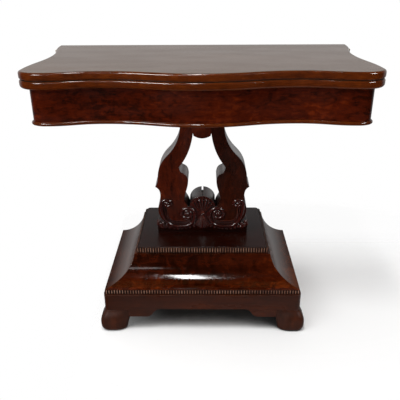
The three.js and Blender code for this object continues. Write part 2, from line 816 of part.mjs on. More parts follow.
function addCove() {
  const section = coveSection();
  const mitreGap = gap * Math.SQRT1_2;
  const ring = (side) => section.map(({ x: inset, y: z }) => (
    new THREE.Vector3(side * (coveHalf - inset - mitreGap), coveFront + inset, z)
  ));
  add('cove_front', loft([ring(-1), ring(1)], section), polished);
  const corner = section.map(({ x: inset, y: z }) => (
    new THREE.Vector3(coveHalf - inset, coveFront + inset + mitreGap, z)
  ));
  const end = section.map(({ x: inset, y: z }) => new THREE.Vector3(coveHalf - inset, plinthBack, z));
  const right = loft([corner, end], section);
  add('cove_right', right, polished);
  add('cove_left', mirrored(right), polished);
}

function addPlinthBoards() {
  const reach = rippleThick + rippleProud + gap;
  const baseHalf = coveHalf - reach;
  add('base_board', block(-baseHalf, baseHalf, coveFront + reach, plinthBack,
    baseBoardBottom, baseBoardBottom + baseBoardThick), pine);
  const boardHalf = platformHalf - reach;
  add('platform_board', block(-boardHalf, boardHalf, platformFront + reach, plinthBack,
    platformBottom, platformTop), polished);
  const backHalf = coveHalf - coveBase - gap;
  add('plinth_back', block(-backHalf, backHalf, plinthBack - plinthBackThick, plinthBack,
    coveBottom, coveTop), pine);
}

// Skirt: a ring with rounded front corners, its lower edge arched between the feet
function roundedFrontOutline() {
  const half = skirtWidth / 2;
  const arcX = half - skirtCornerRadius;
  const arcY = plinthFront + skirtCornerRadius;
  return [
    new THREE.Vector2(-half, plinthBack),
    ...arcPoints(-arcX, arcY, skirtCornerRadius, Math.PI, Math.PI * 3 / 2, skirtSteps),
    ...arcPoints(arcX, arcY, skirtCornerRadius, -Math.PI / 2, 0, skirtSteps),
    new THREE.Vector2(half, plinthBack),
  ];
}

// Half of the arched lower edge, from the foot to the flat of the arch, then its mirror
function archOutline(footInner, lip, arch, middle) {
  const half = (side) => {
    const lipEnd = middle + side * (footInner - middle - skirtLipLength);
    const archEnd = lipEnd - side * skirtOgeeLength;
    const bend = (lipEnd + archEnd) / 2;
    const shape = new THREE.Shape();
    shape.moveTo(lipEnd, lip);
    shape.bezierCurveTo(bend, lip, bend, arch, archEnd, arch);
    return shape.getPoints(skirtSteps);
  };
  return [...half(-1), ...half(1).reverse()];
}

function skirtElevation(outer0, outer1, inner0, inner1) {
  const middle = (inner0 + inner1) / 2;
  const seat = footHeight + gap;
  return [
    new THREE.Vector2(outer0, skirtTop),
    new THREE.Vector2(outer0, seat),
    new THREE.Vector2(inner0 + gap, seat),
    new THREE.Vector2(inner0 + gap, skirtLip),
    ...archOutline(inner1, skirtLip, skirtArch, middle),
    new THREE.Vector2(inner1 - gap, skirtLip),
    new THREE.Vector2(inner1 - gap, seat),
    new THREE.Vector2(outer1, seat),
    new THREE.Vector2(outer1, skirtTop),
  ];
}

function addSkirt() {
  const half = skirtWidth / 2;
  const innerHalf = half - footWidth;
  const ring = toSolid(uprightPrism(roundedFrontOutline(), 0, skirtTop));
  const wallX = half - skirtThick;
  const wallY = plinthFront + skirtThick;
  const far = leafWidth;
  const frontView = skirtElevation(-far, far, -innerHalf, innerHalf);
  const frontBand = frontPrism(frontView, plinthFront - overrun, wallY);
  const mitreOffset = gap * Math.SQRT1_2;
  const wedge = uprightPrism([
    new THREE.Vector2(-half - overrun + mitreOffset, plinthFront - overrun),
    new THREE.Vector2(half + overrun - mitreOffset, plinthFront - overrun),
    new THREE.Vector2(wallX - overrun - mitreOffset, wallY + overrun),
    new THREE.Vector2(overrun + mitreOffset - wallX, wallY + overrun),
  ], -overrun, skirtTop + overrun);
  add('skirt_front', toGeometry(ring.intersect(toSolid(frontBand)).intersect(toSolid(wedge))), polished);
  const inner0 = plinthFront + footWidth;
  const inner1 = plinthBack - footWidth;
  const sideView = skirtElevation(plinthFront - overrun, plinthBack, inner0, inner1);
  const sideBand = sidePrism(sideView, wallX, half + overrun);
  const corner = uprightPrism([
    new THREE.Vector2(half + overrun, plinthFront - overrun + mitreOffset),
    new THREE.Vector2(half + overrun, plinthBack),
    new THREE.Vector2(wallX - overrun, plinthBack),
    new THREE.Vector2(wallX - overrun, wallY + overrun + mitreOffset),
  ], -overrun, skirtTop + overrun);
  const right = toGeometry(ring.intersect(toSolid(sideBand)).intersect(toSolid(corner)));
  add('skirt_right', right, polished);
  add('skirt_left', mirrored(right), polished);
  const backHalf = wallX - gap;
  add('skirt_back', block(-backHalf, backHalf, plinthBack - skirtThick, plinthBack,
    skirtTop - backSkirtDrop + gap, skirtTop), pine);
}

// Bracket feet: square at the top, swelling on the show sides and tucked in at the floor
const footShapeShares = [
  [0, 0.3, 0.33], [0.04, 0.55, 0.235], [0.11, 0.83, 0.125], [0.19, 0.93, 0.065], [0.29, 0.98, 0.025],
  [0.45, 1, 0], [0.64, 0.92, 0], [0.8, 0.65, 0], [0.93, 0.26, 0], [1, 0, 0],
];

function footRing(z, outX, outY, tuck) {
  const left = tuck;
  const right = footWidth + outX;
  const near = -outY;
  const far = footWidth - tuck;
  const radius = footWidth * footRoundShare;
  const outline = [
    new THREE.Vector2(left, far),
    new THREE.Vector2(left, near),
    ...arcPoints(right - radius, near + radius, radius, -Math.PI / 2, 0, footCornerSteps),
    new THREE.Vector2(right, far),
  ];
  return outline.map((p) => new THREE.Vector3(p.x, p.y, z));
}

function footLoft(swellsFront) {
  const rings = footShapeShares.map(([up, swell, tuckIn]) => {
    const out = footProud * swell - footWidth * tuckIn;
    return footRing(up * footHeight, out, swellsFront ? out : -footWidth * tuckIn, footWidth * tuckIn);
  });
  return loft(rings, rings[0].map((p) => new THREE.Vector2(p.x, p.y)));
}

function addFeet() {
  const inner = skirtWidth / 2 - footWidth;
  const front = footLoft(true).translate(inner, plinthFront, 0);
  add('front_right_foot', front, polished);
  add('front_left_foot', mirrored(front), polished);
  const back = footLoft(false);
  back.applyMatrix4(new THREE.Matrix4().makeScale(1, -1, 1)).translate(inner, plinthBack, 0);
  add('back_right_foot', facingOut(back), polished);
  add('back_left_foot', mirrored(back), polished);
}

// Glue blocks in the corners of the skirt, each on its foot
function addPlinthBlocks() {
  const outerX = skirtWidth / 2 - skirtThick - gap;
  const frontWall = plinthFront + skirtThick + gap;
  const backWall = plinthBack - skirtThick - gap;
  const bottom = footHeight + gap;
  const innerX = outerX - plinthBlockSize;
  const near = block(innerX, outerX, frontWall, frontWall + plinthBlockSize, bottom, skirtTop);
  const far = block(innerX, outerX, backWall - plinthBlockSize, backWall, bottom, skirtTop);
  add('front_right_plinth_block', near, pine);
  add('front_left_plinth_block', mirrored(near), pine);
  add('back_right_plinth_block', far, pine);
  add('back_left_plinth_block', mirrored(far), pine);
}

addLeaves();
addHinges();
addSwivel();
addSwivelStop();
addRails();
addBeads();
addFrameFloor();
addPivotRail();
addFrameBlocks();
addLyre();
addPendant();
addShell();
addRipples('platform', platformHalf, platformFront, platformBottom, platformThick, platformPitch);
addRipples('base', coveHalf, coveFront, baseBoardBottom, baseBoardThick, basePitch);
addCove();
addPlinthBoards();
addSkirt();
addFeet();
addPlinthBlocks();

export default table;
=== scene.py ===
# Fold over card table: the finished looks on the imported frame
# Metres, +X to the sitter's right, +Y to the back, +Z up
import json
import math
import bpy
from mathutils import Matrix, Vector
from mathutils.geometry import interpolate_bezier, intersect_point_line


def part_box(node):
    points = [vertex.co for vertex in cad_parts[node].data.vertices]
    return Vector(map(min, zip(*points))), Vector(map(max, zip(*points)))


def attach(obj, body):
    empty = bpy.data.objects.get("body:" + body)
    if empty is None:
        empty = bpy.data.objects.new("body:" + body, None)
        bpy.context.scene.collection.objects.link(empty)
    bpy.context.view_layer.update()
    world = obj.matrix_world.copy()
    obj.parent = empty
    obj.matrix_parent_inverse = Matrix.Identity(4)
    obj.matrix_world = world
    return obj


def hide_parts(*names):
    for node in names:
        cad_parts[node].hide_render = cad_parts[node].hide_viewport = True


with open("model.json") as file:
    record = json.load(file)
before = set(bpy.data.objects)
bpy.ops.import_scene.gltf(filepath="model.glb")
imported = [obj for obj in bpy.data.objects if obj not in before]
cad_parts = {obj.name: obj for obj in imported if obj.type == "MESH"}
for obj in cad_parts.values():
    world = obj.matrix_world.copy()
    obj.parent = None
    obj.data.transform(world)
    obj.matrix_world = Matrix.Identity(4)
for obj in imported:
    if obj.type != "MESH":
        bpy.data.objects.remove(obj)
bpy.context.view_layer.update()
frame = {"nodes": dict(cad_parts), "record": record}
nodes = frame["nodes"]
print("frame loaded:", len(nodes), "nodes")

cameraValues = {"place": (0.0104, -1.45555, 0.971), "pitch": 24.6, "yaw": -0.71, "roll": -0.34, "lens": 46.3}


def addCamera():
    v = cameraValues
    turns = ((-v["yaw"], "Z"), (90 - v["pitch"], "X"), (v["roll"], "Z"))
    yaw, pitch, roll = (Matrix.Rotation(math.radians(degrees), 3, axis) for degrees, axis in turns)
    bpy.ops.object.camera_add(location=v["place"])
    camera = bpy.context.object
    camera.name = "photo_camera"
    camera.rotation_euler = (yaw @ pitch @ roll).to_euler()
    camera.data.lens = v["lens"]
    bpy.context.scene.camera = camera


# Selection and small modelling steps
def focus(*pieces):
    bpy.ops.object.select_all(action="DESELECT")
    for piece in pieces:
        piece.select_set(True)
    bpy.context.view_layer.objects.active = pieces[0]


def named(name):
    piece = bpy.context.object
    piece.name = piece.data.name = name
    return piece


def editWhole(*steps):  # each step works on the whole mesh of the piece in focus
    bpy.ops.object.mode_set(mode="EDIT")
    for step in steps:
        bpy.ops.mesh.select_all(action="SELECT")
        step()
    bpy.ops.object.mode_set(mode="OBJECT")


def faceOutwards():
    bpy.ops.mesh.normals_make_consistent(inside=False)


def resized(factors, centre=(0, 0, 0)):
    return lambda: bpy.ops.transform.resize(value=factors, center_override=centre)


def merged(distance):
    return lambda: bpy.ops.mesh.remove_doubles(threshold=distance)


def outlineFace(name, places, fill="NGON"):
    bpy.ops.mesh.primitive_circle_add(vertices=len(places), fill_type=fill)
    piece = named(name)
    for vertex, place in zip(piece.data.vertices, places):
        vertex.co = place
    return piece


def slab(name, places, offset):  # a flat outline, drawn out by the offset
    piece = outlineFace(name, places)
    move = {"value": offset}
    editWhole(lambda: bpy.ops.mesh.extrude_region_move(TRANSFORM_OT_translate=move), faceOutwards)
    return piece


def brick(name, low, high):
    corners = [(low[0], low[1]), (high[0], low[1]), (high[0], high[1]), (low[0], high[1])]
    return slab(name, [(x, y, low[2]) for x, y in corners], (0, 0, high[2] - low[2]))


def rod(name, place, radius, length):  # lies along X
    bpy.ops.mesh.primitive_cylinder_add(vertices=28, radius=radius, depth=length, location=place,
                                        rotation=(0, math.radians(90), 0))
    bpy.ops.object.transform_apply(location=True, rotation=True, scale=True)
    return named(name)


def ball(name, place, radius, segments, rings, deep=1):
    bpy.ops.mesh.primitive_uv_sphere_add(segments=segments, ring_count=rings, radius=radius, location=place)
    bpy.ops.transform.resize(value=(1, deep, 1))
    bpy.ops.object.transform_apply(location=True, rotation=True, scale=True)
    return named(name)


def edgesAt(axis, level, tolerance=0.00005):  # wants the edges that lie in one plane
    return lambda a, b: abs(a[axis] - level) < tolerance and abs(b[axis] - level) < tolerance


def isLevel(a, b, tolerance=0.00005):
    return abs(a.z - b.z) < tolerance


def pickEdges(piece, wanted):
    mesh = piece.data
    for item in (*mesh.vertices, *mesh.edges, *mesh.polygons):
        item.select = False
    for edge in mesh.edges:
        edge.select = wanted(*(mesh.vertices[end].co for end in edge.vertices))
    bpy.context.tool_settings.mesh_select_mode = (False, True, False)


def roundEdges(piece, wanted, radius, segments=6):
    focus(piece)
    pickEdges(piece, wanted)
    bpy.ops.object.mode_set(mode="EDIT")
    bpy.ops.mesh.bevel(offset=radius, offset_type="OFFSET", segments=segments, affect="EDGES",
                       clamp_overlap=True)
    bpy.ops.object.mode_set(mode="OBJECT")


def applied(piece, kind, **values):
    focus(piece)
    modifier = piece.modifiers.new(kind.lower(), kind)
    for key, value in values.items():
        setattr(modifier, key, value)
    bpy.ops.object.modifier_apply(modifier=modifier.name)


def softened(piece, radius, segments=2, degrees=50):  # a small bevel on every sharp edge
    applied(piece, "BEVEL", width=radius, segments=segments, limit_method="ANGLE",
            angle_limit=math.radians(degrees), use_clamp_overlap=True)


def cut(piece, *cutters):
    for cutter in cutters:
        applied(piece, "BOOLEAN", operation="DIFFERENCE", solver="EXACT", object=cutter)
        bpy.data.objects.remove(cutter)


def joined(name, *pieces):
    focus(*pieces)
    bpy.ops.object.join()
    return named(name)


def mirroredCopy(piece, name):
    focus(piece)
    bpy.ops.object.duplicate()
    copy = named(name)
    editWhole(resized((-1, 1, 1)), faceOutwards)
    return copy


def bisected(piece, place, normal):  # keeps the side that the normal points away from
    focus(piece)
    editWhole(lambda: bpy.ops.mesh.bisect(plane_co=place, plane_no=normal, use_fill=True, clear_outer=True))


def copiedNode(node):
    focus(nodes[node])
    bpy.ops.object.duplicate()
    copy = named(node + "_finished")
    copy.parent = None
    for key in [key for key in copy.keys() if key.startswith("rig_")]:
        del copy[key]
    editWhole(merged(0.00001), lambda: bpy.ops.mesh.dissolve_limited(angle_limit=math.radians(2)))
    copy.data.materials.clear()
    return copy


def settle(piece, standsFor, material, body="stand"):
    focus(piece)
    bpy.ops.object.shade_smooth_by_angle(angle=math.radians(35))
    applied(piece, "WEIGHTED_NORMAL", keep_sharp=True)
    piece.data.materials.clear()
    piece.data.materials.append(material)
    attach(piece, body)
    if standsFor:
        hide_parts(*standsFor)


def faceFinish(piece, material, wanted):  # a second finish on the faces that are wanted
    piece.data.materials.append(material)
    for face in piece.data.polygons:
        if wanted(face):
            face.material_index = len(piece.data.materials) - 1


def tube(name, places, radii, sides=12, deep=1, plane=0):  # a tapering rod, drawn deeper across the plane
    curve = bpy.data.curves.new(name, "CURVE")
    curve.dimensions = "3D"
    run = curve.splines.new("POLY")
    run.points.add(len(places) - 1)
    for point, place, radius in zip(run.points, places, radii):
        point.co = (*place, 1)
        point.radius = radius
    curve.bevel_depth = 1
    curve.bevel_resolution = sides // 4
    curve.use_fill_caps = True
    piece = bpy.data.objects.new(name, curve)
    bpy.context.collection.objects.link(piece)
    focus(piece)
    bpy.ops.object.convert(target="MESH")
    piece = named(name)
    editWhole(resized((1, deep, 1), (0, plane, 0)), merged(0.00002), faceOutwards)
    return piece


# Shader building
def feed(tree, made, sockets):  # sockets are linked, plain values are set
    for key, value in sockets.items():
        if isinstance(value, bpy.types.NodeSocket):
            tree.links.new(value, made.inputs[key])
        else:
            made.inputs[key].default_value = value


def put(tree, kind, sockets=None, **settings):
    made = tree.nodes.new("ShaderNode" + kind)
    for key, value in settings.items():
        setattr(made, key, value)
    feed(tree, made, sockets or {})
    return made


def tone(code):
    parts = [int(code[k:k + 2], 16) / 255 for k in (0, 2, 4)]
    return (*[((c + 0.055) / 1.055) ** 2.4 if c > 0.04045 else c / 12.92 for c in parts], 1)


def newGroup(name, inputs, outputs):  # each kind of socket with its labels
    group = bpy.data.node_groups.new(name, "ShaderNodeTree")
    for way, sockets in (("INPUT", inputs), ("OUTPUT", outputs)):
        for kind, labels in sockets.items():
            for label in labels.split():
                group.interface.new_socket(name=label, in_out=way, socket_type="NodeSocket" + kind)
    return group, group.nodes.new("NodeGroupInput").outputs, group.nodes.new("NodeGroupOutput")


def mathStep(tree, operation, a, b, c=0, clamp=False):
    return put(tree, "Math", {0: a, 1: b, 2: c}, operation=operation, use_clamp=clamp).outputs[0]


def blendColor(tree, share, a, b, mode="MIX"):
    return put(tree, "Mix", {0: share, 6: a, 7: b}, data_type="RGBA", blend_type=mode).outputs[2]


def blendValue(tree, share, a, b):
    return put(tree, "Mix", {0: share, 2: a, 3: b}, data_type="FLOAT").outputs[0]


def greyColor(tree, value):
    return put(tree, "CombineColor", {0: value, 1: value, 2: value}).outputs[0]


def bumped(tree, height, strength, distance):
    return put(tree, "Bump", {"Height": height, "Strength": strength, "Distance": distance}).outputs[0]


def between(tree, value, low, high, toLow=0, toHigh=1):
    return put(tree, "MapRange", {"Value": value, "From Min": low, "From Max": high, "To Min": toLow,
                                  "To Max": toHigh}, interpolation_type="SMOOTHSTEP").outputs[0]


def stretched(tree, vector, scale):
    return put(tree, "VectorMath", {0: vector, 1: scale}, operation="MULTIPLY").outputs[0]


def noise(tree, vector, scale, detail=3, distortion=0):
    sockets = {"Vector": vector, "Scale": scale, "Detail": detail, "Distortion": distortion}
    return put(tree, "TexNoise", sockets).outputs["Fac"]


figureValues = {
    "layers": {  # stretch, scale, detail, distortion
        "warp": ((2, 6, 6), 1.6, 2, 0),
        "clouds": ((2.2, 9, 9), 1.3, 4, 0.8),
        "feathers": ((23, 15, 15), 1, 5, 1.6),
        "mottles": ((45, 110, 110), 1, 3, 0.6),
        "fibres": ((5, 150, 150), 1.4, 4, 0),
        "lines": ((0.9, 34, 34), 1.2, 3, 0.3),
        "pores": ((70, 1300, 1300), 1, 2, 0),
    },
    "lower": (0.3, 0.52), "upper": (0.5, 0.72), "strands": (0.36, 0.6, 0.55, 1.3), "pores": (0.6, 0.72),
    "fibreHeight": 0.35,
}


def woodGroup():  # the grain runs along X of the vector that comes in
    v = figureValues
    inputs = {"Vector": "Vector", "Color": "Dark Middle Light", "Float": "Flame Mottle Streak Pores"}
    group, given, out = newGroup("woodFigure", inputs, {"Color": "Color", "Float": "Height"})
    warp, clouds, feathers, mottles, fibres, lines, pores = (
        noise(group, stretched(group, given["Vector"], stretch), scale, detail, distortion)
        for stretch, scale, detail, distortion in v["layers"].values())
    figure = mathStep(group, "MULTIPLY_ADD", mathStep(group, "SUBTRACT", feathers, warp), given["Flame"], 0.5)
    broad = mathStep(group, "MULTIPLY", mathStep(group, "ADD", figure, clouds), 0.5)
    fine = mathStep(group, "SUBTRACT", mottles, 0.5)
    mixed = mathStep(group, "MULTIPLY_ADD", fine, given["Mottle"], broad)
    lower = blendColor(group, between(group, mixed, *v["lower"]), given["Dark"], given["Middle"])
    plain = blendColor(group, between(group, mixed, *v["upper"]), lower, given["Light"])
    strands = mathStep(group, "MULTIPLY", mathStep(group, "ADD", fibres, lines), 0.5)
    grey = greyColor(group, between(group, strands, *v["strands"]))
    streaked = blendColor(group, given["Streak"], plain, blendColor(group, 1, plain, grey, "MULTIPLY"))
    poreMask = between(group, pores, *v["pores"])
    poreShare = mathStep(group, "MULTIPLY", poreMask, given["Pores"])
    fibreHeight = mathStep(group, "MULTIPLY", fibres, v["fibreHeight"])
    feed(group, out, {"Color": blendColor(group, poreShare, streaked, (0, 0, 0, 1)),
                      "Height": mathStep(group, "SUBTRACT", fibreHeight, poreMask)})
    return group


# The hollow band turns ambient occlusion into darkening: wax, and painted shade
wearAndShadeValues = {
    "edge": (0.015, 0.14), "patchScale": 34, "patches": (0.42, 0.62, 0.35, 1), "hollow": (0.35, 0.95),
}


def wearAndShadeGroup():  # rubbed edges made lighter (wear, and on the carving partly a painted highlight), and hollows darkened by ambient occlusion (wax, and painted shade)
    v = wearAndShadeValues
    inputs = {"Color": "Color Worn Wax", "Float": "Amount Reach Hollow Near", "Vector": "Vector"}
    group, given, out = newGroup("edgeWear", inputs, {"Color": "Color", "Float": "Mask Shut"})
    soft = put(group, "Bevel", {"Radius": given["Reach"]}, samples=6).outputs[0]
    plain = put(group, "NewGeometry").outputs["Normal"]
    turn = put(group, "VectorMath", {0: soft, 1: plain}, operation="DOT_PRODUCT").outputs["Value"]
    edge = between(group, mathStep(group, "SUBTRACT", 1, turn), *v["edge"])
    patches = between(group, noise(group, given["Vector"], v["patchScale"], 4), *v["patches"])
    # Lighter rubbed edges: wear, and on the carving partly a painted highlight
    rubbedAndHighlit = mathStep(group, "MULTIPLY", mathStep(group, "MULTIPLY", edge, patches), given["Amount"])
    # Ambient occlusion darkens the hollows: wax, and painted shade
    openness = put(group, "AmbientOcclusion", {"Distance": given["Near"]}, samples=8).outputs["AO"]
    hollowWaxAndShade = between(group, mathStep(group, "SUBTRACT", 1, openness), *v["hollow"])
    waxAndShadeMask = mathStep(group, "MULTIPLY", hollowWaxAndShade, given["Hollow"])
    worn = blendColor(group, rubbedAndHighlit, given["Color"], given["Worn"])
    feed(group, out, {"Color": blendColor(group, waxAndShadeMask, worn, given["Wax"]), "Mask": rubbedAndHighlit, "Shut": waxAndShadeMask})
    return group


woodFigure = woodGroup()
edgeWear = wearAndShadeGroup()


def newMaterial(name):
    material = bpy.data.materials.new(name)
    material.use_nodes = True
    shader = material.node_tree.nodes["Principled BSDF"]
    material.diffuse_color = (0.2, 0.05, 0.02, 1)
    return material, material.node_tree, shader


def wornAndShaded(tree, color, place, look):
    return put(tree, "Group", {
        "Color": color, "Worn": tone(look["worn"]), "Amount": look["wear"], "Reach": look["reach"],
        "Wax": tone(look["wax"]), "Hollow": look["hollow"], "Near": look["near"], "Vector": place,
    }, node_tree=edgeWear).outputs


alongX = (0, 0, 0)
alongY = (0, 0, 90)
alongZ = (0, 90, 0)

# wax, hollow and near set a darkening of hollows by ambient occlusion: wax, and painted shade
polishLook = {
    "turn": alongX, "dark": "2e0800", "middle": "4c1301", "light": "611f05", "flame": 0.6, "mottle": 0.7,
    "streak": 0.35, "pores": 0.5, "worn": "8a4a22", "wear": 0.4, "reach": 0.0015, "wax": "140402",
    "hollow": 0.6, "near": 0.012, "rough": 0.2, "patchy": 0.25, "wavy": 1.2, "bump": 0.3, "ior": 1.4,
}

coatValues = {
    "smearStretch": (3, 9, 9), "smearScale": 2, "smearBand": (0.35, 0.65), "waxDulls": 0.75, "wearDulls": 0.1,
    "waveStretch": (6, 9, 9), "waveScale": 1.6, "grainHeight": 0.25, "bumpDistance": 0.0006,
}


def wood(name, base=polishLook, **changes):
    v, look = coatValues, {**base, **changes}
    material, tree, shader = newMaterial(name)
    place = put(tree, "TexCoord").outputs["Object"]
    turns = [math.radians(degrees) for degrees in look["turn"]]
    turned = put(tree, "Mapping", {"Vector": place, "Rotation": turns}).outputs[0]
    colours = {word.title(): tone(look[word]) for word in ("dark", "middle", "light")}
    shares = {word.title(): look[word] for word in ("flame", "mottle", "streak", "pores")}
    figure = put(tree, "Group", {"Vector": turned, **colours, **shares}, node_tree=woodFigure).outputs
    worn = wornAndShaded(tree, figure["Color"], place, look)
    smear = noise(tree, stretched(tree, turned, v["smearStretch"]), v["smearScale"])
    spread = look["rough"] * look["patchy"]
    rough = between(tree, smear, *v["smearBand"], look["rough"] - spread, look["rough"] + spread)
    wornDull = mathStep(tree, "MULTIPLY", worn["Mask"], v["wearDulls"])
    dulled = mathStep(tree, "MULTIPLY_ADD", worn["Shut"], v["waxDulls"], wornDull)
    waves = noise(tree, stretched(tree, turned, v["waveStretch"]), v["waveScale"], 2)
    grain = mathStep(tree, "MULTIPLY", figure["Height"], v["grainHeight"])
    relief = mathStep(tree, "MULTIPLY_ADD", waves, look["wavy"], grain)
    bump = bumped(tree, relief, look["bump"], v["bumpDistance"])
    coat = mathStep(tree, "ADD", rough, dulled, clamp=True)
    feed(tree, shader, {"Base Color": worn["Color"], "Roughness": coat, "Normal": bump, "IOR": look["ior"]})
    return material


topWood = wood("mahogany_top", dark="4a2f17", middle="51351b", light="58391d", flame=0.12, mottle=0.14,
               streak=0.15, rough=0.26, patchy=0.05, wavy=0.3, ior=1.5)
edgeWood = wood("mahogany_edge", dark="3e1704", middle="532105", light="692f09", flame=0.4, mottle=0.5,
                rough=0.14, ior=1.5, wear=0.2)
friezeWood = wood("mahogany_frieze", dark="2a0800", middle="461101", light="5f1d02", flame=0.8, mottle=0.65,
                  ior=1.36)
lyreLook = dict(polishLook, turn=alongZ, dark="2a0a02", middle="481504", light="642207", flame=0.5,
                mottle=0.5, streak=0.2, near=0.03, hollow=0.9, rough=0.24, ior=1.38)
lyreWood = wood("mahogany_lyre", lyreLook)
# A darker copy of the lyre wood: painted shade for the right support and the back of the shell
lyreShadedWood = wood("mahogany_lyre_painted_shade", lyreLook, dark="1c0702", middle="310f04", light="4a1806")
blockWood = wood("mahogany_block", dark="160300", middle="1f0500", light="2c0a02", mottle=0.4, rough=0.25,
                 ior=1.33)
boardWood = wood("mahogany_board", dark="1b0602", middle="240802", light="331004", mottle=0.4, rough=0.24,
                 patchy=0.1, wavy=0.5, ior=1.36)
plinthWood = wood("mahogany_plinth", dark="2c0e01", middle="371201", light="451a04", flame=0.5, mottle=0.35,
                  rough=0.34, ior=1.36)
footWood = wood("mahogany_foot", turn=alongZ, dark="2c1002", middle="371403", light="451c07", flame=0.5,
                mottle=0.4, rough=0.5, ior=1.3, wear=0.08)
coveWood = wood("mahogany_cove", dark="1a0500", middle="370f02", light="662606", flame=1, mottle=0.3,
                rough=0.09, patchy=0.2, ior=1.45, wavy=0.4, bump=0.12)
coveSideWood = wood("mahogany_cove_side", turn=alongY, dark="2a0e03", middle="3a1705", light="52250a",
                    flame=0.8, mottle=0.3, rough=0.2)
railSideWood = wood("mahogany_side", turn=alongY, mottle=0.5, ior=1.36)
# Pale reed crests: a painted highlight
crestHighlightWood = wood("reed_crest_painted_highlight", turn=alongZ, dark="7d5444", middle="a2745e", light="bd927c", rough=0.3,
                 wear=0.2, hollow=0.3, streak=0.1, pores=0.1)
# Dark backing between the reeds: painted shade
reedShadeWood = wood("reed_ground_painted_shade", dark="160602", middle="1f0902", light="2a1004", rough=0.45, ior=1.3)
# Pale rubbed crests: wear, and partly a painted highlight; hollows darkened as wax and painted shade
carvedWood = wood("mahogany_carved", turn=alongZ, dark="240603", middle="3a0c06", light="501609", flame=0.3,
                  mottle=0.4, rough=0.2, patchy=0.15, wear=0.7, worn="8a4632", hollow=1, near=0.014,
                  reach=0.0014, ior=1.65)
pineLook = dict(polishLook, dark="8a5c34", middle="a97a4a", light="bd9362", worn="c8a578", wax="4d3019",
                rough=0.62, wear=0.25, bump=0.7, wavy=0.4, flame=0.3, mottle=0.2, streak=0.6)
pineLong = wood("pine_long", pineLook)
pineDeep = wood("pine_deep", pineLook, turn=alongY)
pineBlock = wood("pine_block", pineLook, turn=alongZ, middle="9a6c3f")

# hollow and near set a darkening of hollows by ambient occlusion: dirt, and painted shade
metalLook = {
    "stains": (0.38, 0.66), "wear": 0.7, "reach": 0.0006, "hollow": 0.8, "near": 0.012, "dulled": 0.2,
    "bumpDistance": 0.0003,
}


def metal(name, **changes):
    look = {**metalLook, **changes}
    material, tree, shader = newMaterial(name)
    place = put(tree, "TexCoord").outputs["Object"]
    stains = between(tree, noise(tree, place, look["patch"], 5, 0.4), *look["stains"])
    mottled = blendColor(tree, stains, tone(look["bright"]), tone(look["dull"]))
    worn = wornAndShaded(tree, mottled, place, look)
    rough = between(tree, stains, 0, 1, look["rough"], look["rough"] + look["dulled"])
    bump = bumped(tree, noise(tree, place, look["pits"], 4), look["bump"], look["bumpDistance"])
    feed(tree, shader, {"Base Color": worn["Color"], "Roughness": rough, "Normal": bump, "Metallic": 1})
    return material


agedBrass = metal("brass_aged", bright="b08a42", dull="6f5527", worn="d8b873", wax="2b2110", rough=0.28,
                  patch=90, pits=900, bump=0.3)
blackIron = metal("iron_black", bright="4a4744", dull="2c2523", worn="7d7873", wax="1c120c", rough=0.45,
                  patch=60, pits=700, bump=0.7)
print("materials ready")

# The serpentine edge that the leaves, the frieze and its bead all follow
topValues = {
    "half": 0.453, "depth": 0.484, "foldY": 0.25075, "foldClear": 0.00015,
    "shares": {"bulge": (0, 1), "hollow": (0.54, 0.925), "corner": (0.872, 0.969),
               "tip": (1, 0.872), "waist": (0.951, 0.42), "fold": (1.011, 0)},
    # start, end, the axes that it leaves and arrives along, pull, steps
    "runs": [("bulge", "hollow", 0, 0, 0.45, 20), ("hollow", "corner", 0, 0, 0.45, 18),
             ("corner", "tip", 0, 1, 0.55, 18), ("tip", "waist", 1, 1, 0.45, 16),
             ("waist", "fold", 1, 1, 0.45, 12)],
}


def topPlace(name):
    across, forward = topValues["shares"][name]
    return Vector((across * topValues["half"], topValues["foldY"] - forward * topValues["depth"], 0))


def rightRun():
    run = [topPlace("bulge")]
    for start, end, firstAxis, lastAxis, share, steps in topValues["runs"]:
        a, b = topPlace(start), topPlace(end)
        first, last = a.copy(), b.copy()
        first[firstAxis] += (b[firstAxis] - a[firstAxis]) * share
        last[lastAxis] += (a[lastAxis] - b[lastAxis]) * share
        run += interpolate_bezier(a, first, last, b, steps + 1)[1:]
    return run


def wholeRun():
    right = rightRun()
    return [Vector((-p.x, p.y, 0)) for p in reversed(right[1:])] + right


def insetRun(inset, slack=0.985):  # leaves out what would fold over itself in a tight bend
    run = wholeRun()
    kept = []
    for k, place in enumerate(run):
        along = (run[min(k + 1, len(run) - 1)] - run[max(k - 1, 0)]).normalized()
        moved = place - Vector((along.y, -along.x, 0)) * inset
        if inset <= 0 or min(nearness(moved, a, b) for a, b in zip(run, run[1:])) > inset * slack:
            kept.append(moved)
    return kept


def nearness(place, a, b):
    share = intersect_point_line(place, a, b)[1]
    return (place - a.lerp(b, min(max(share, 0), 1))).length


def clippedRun(run, low, high):  # the part of a run between two depths, cut cleanly at both
    kept = []
    for a, b in zip(run, run[1:]):
        if low <= a.y <= high:
            kept.append(a)
        for limit in (low, high):
            if (a.y - limit) * (b.y - limit) < 0:
                kept.append(a.lerp(b, (limit - a.y) / (b.y - a.y)))
    if low <= run[-1].y <= high:
        kept.append(run[-1])
    return kept


def bandSlab(name, outer, inner, low, high, bottom, height, half):
    sides = []
    for inset in (outer, inner):
        run = insetRun(inset)
        if half:
            run = [p for p in run if p.x > 0]
        sides.append(clippedRun(run, low, high))
    ring = sides[0] + sides[1][::-1]
    return slab(name, [(p.x, p.y, bottom) for p in ring], (0, 0, height))


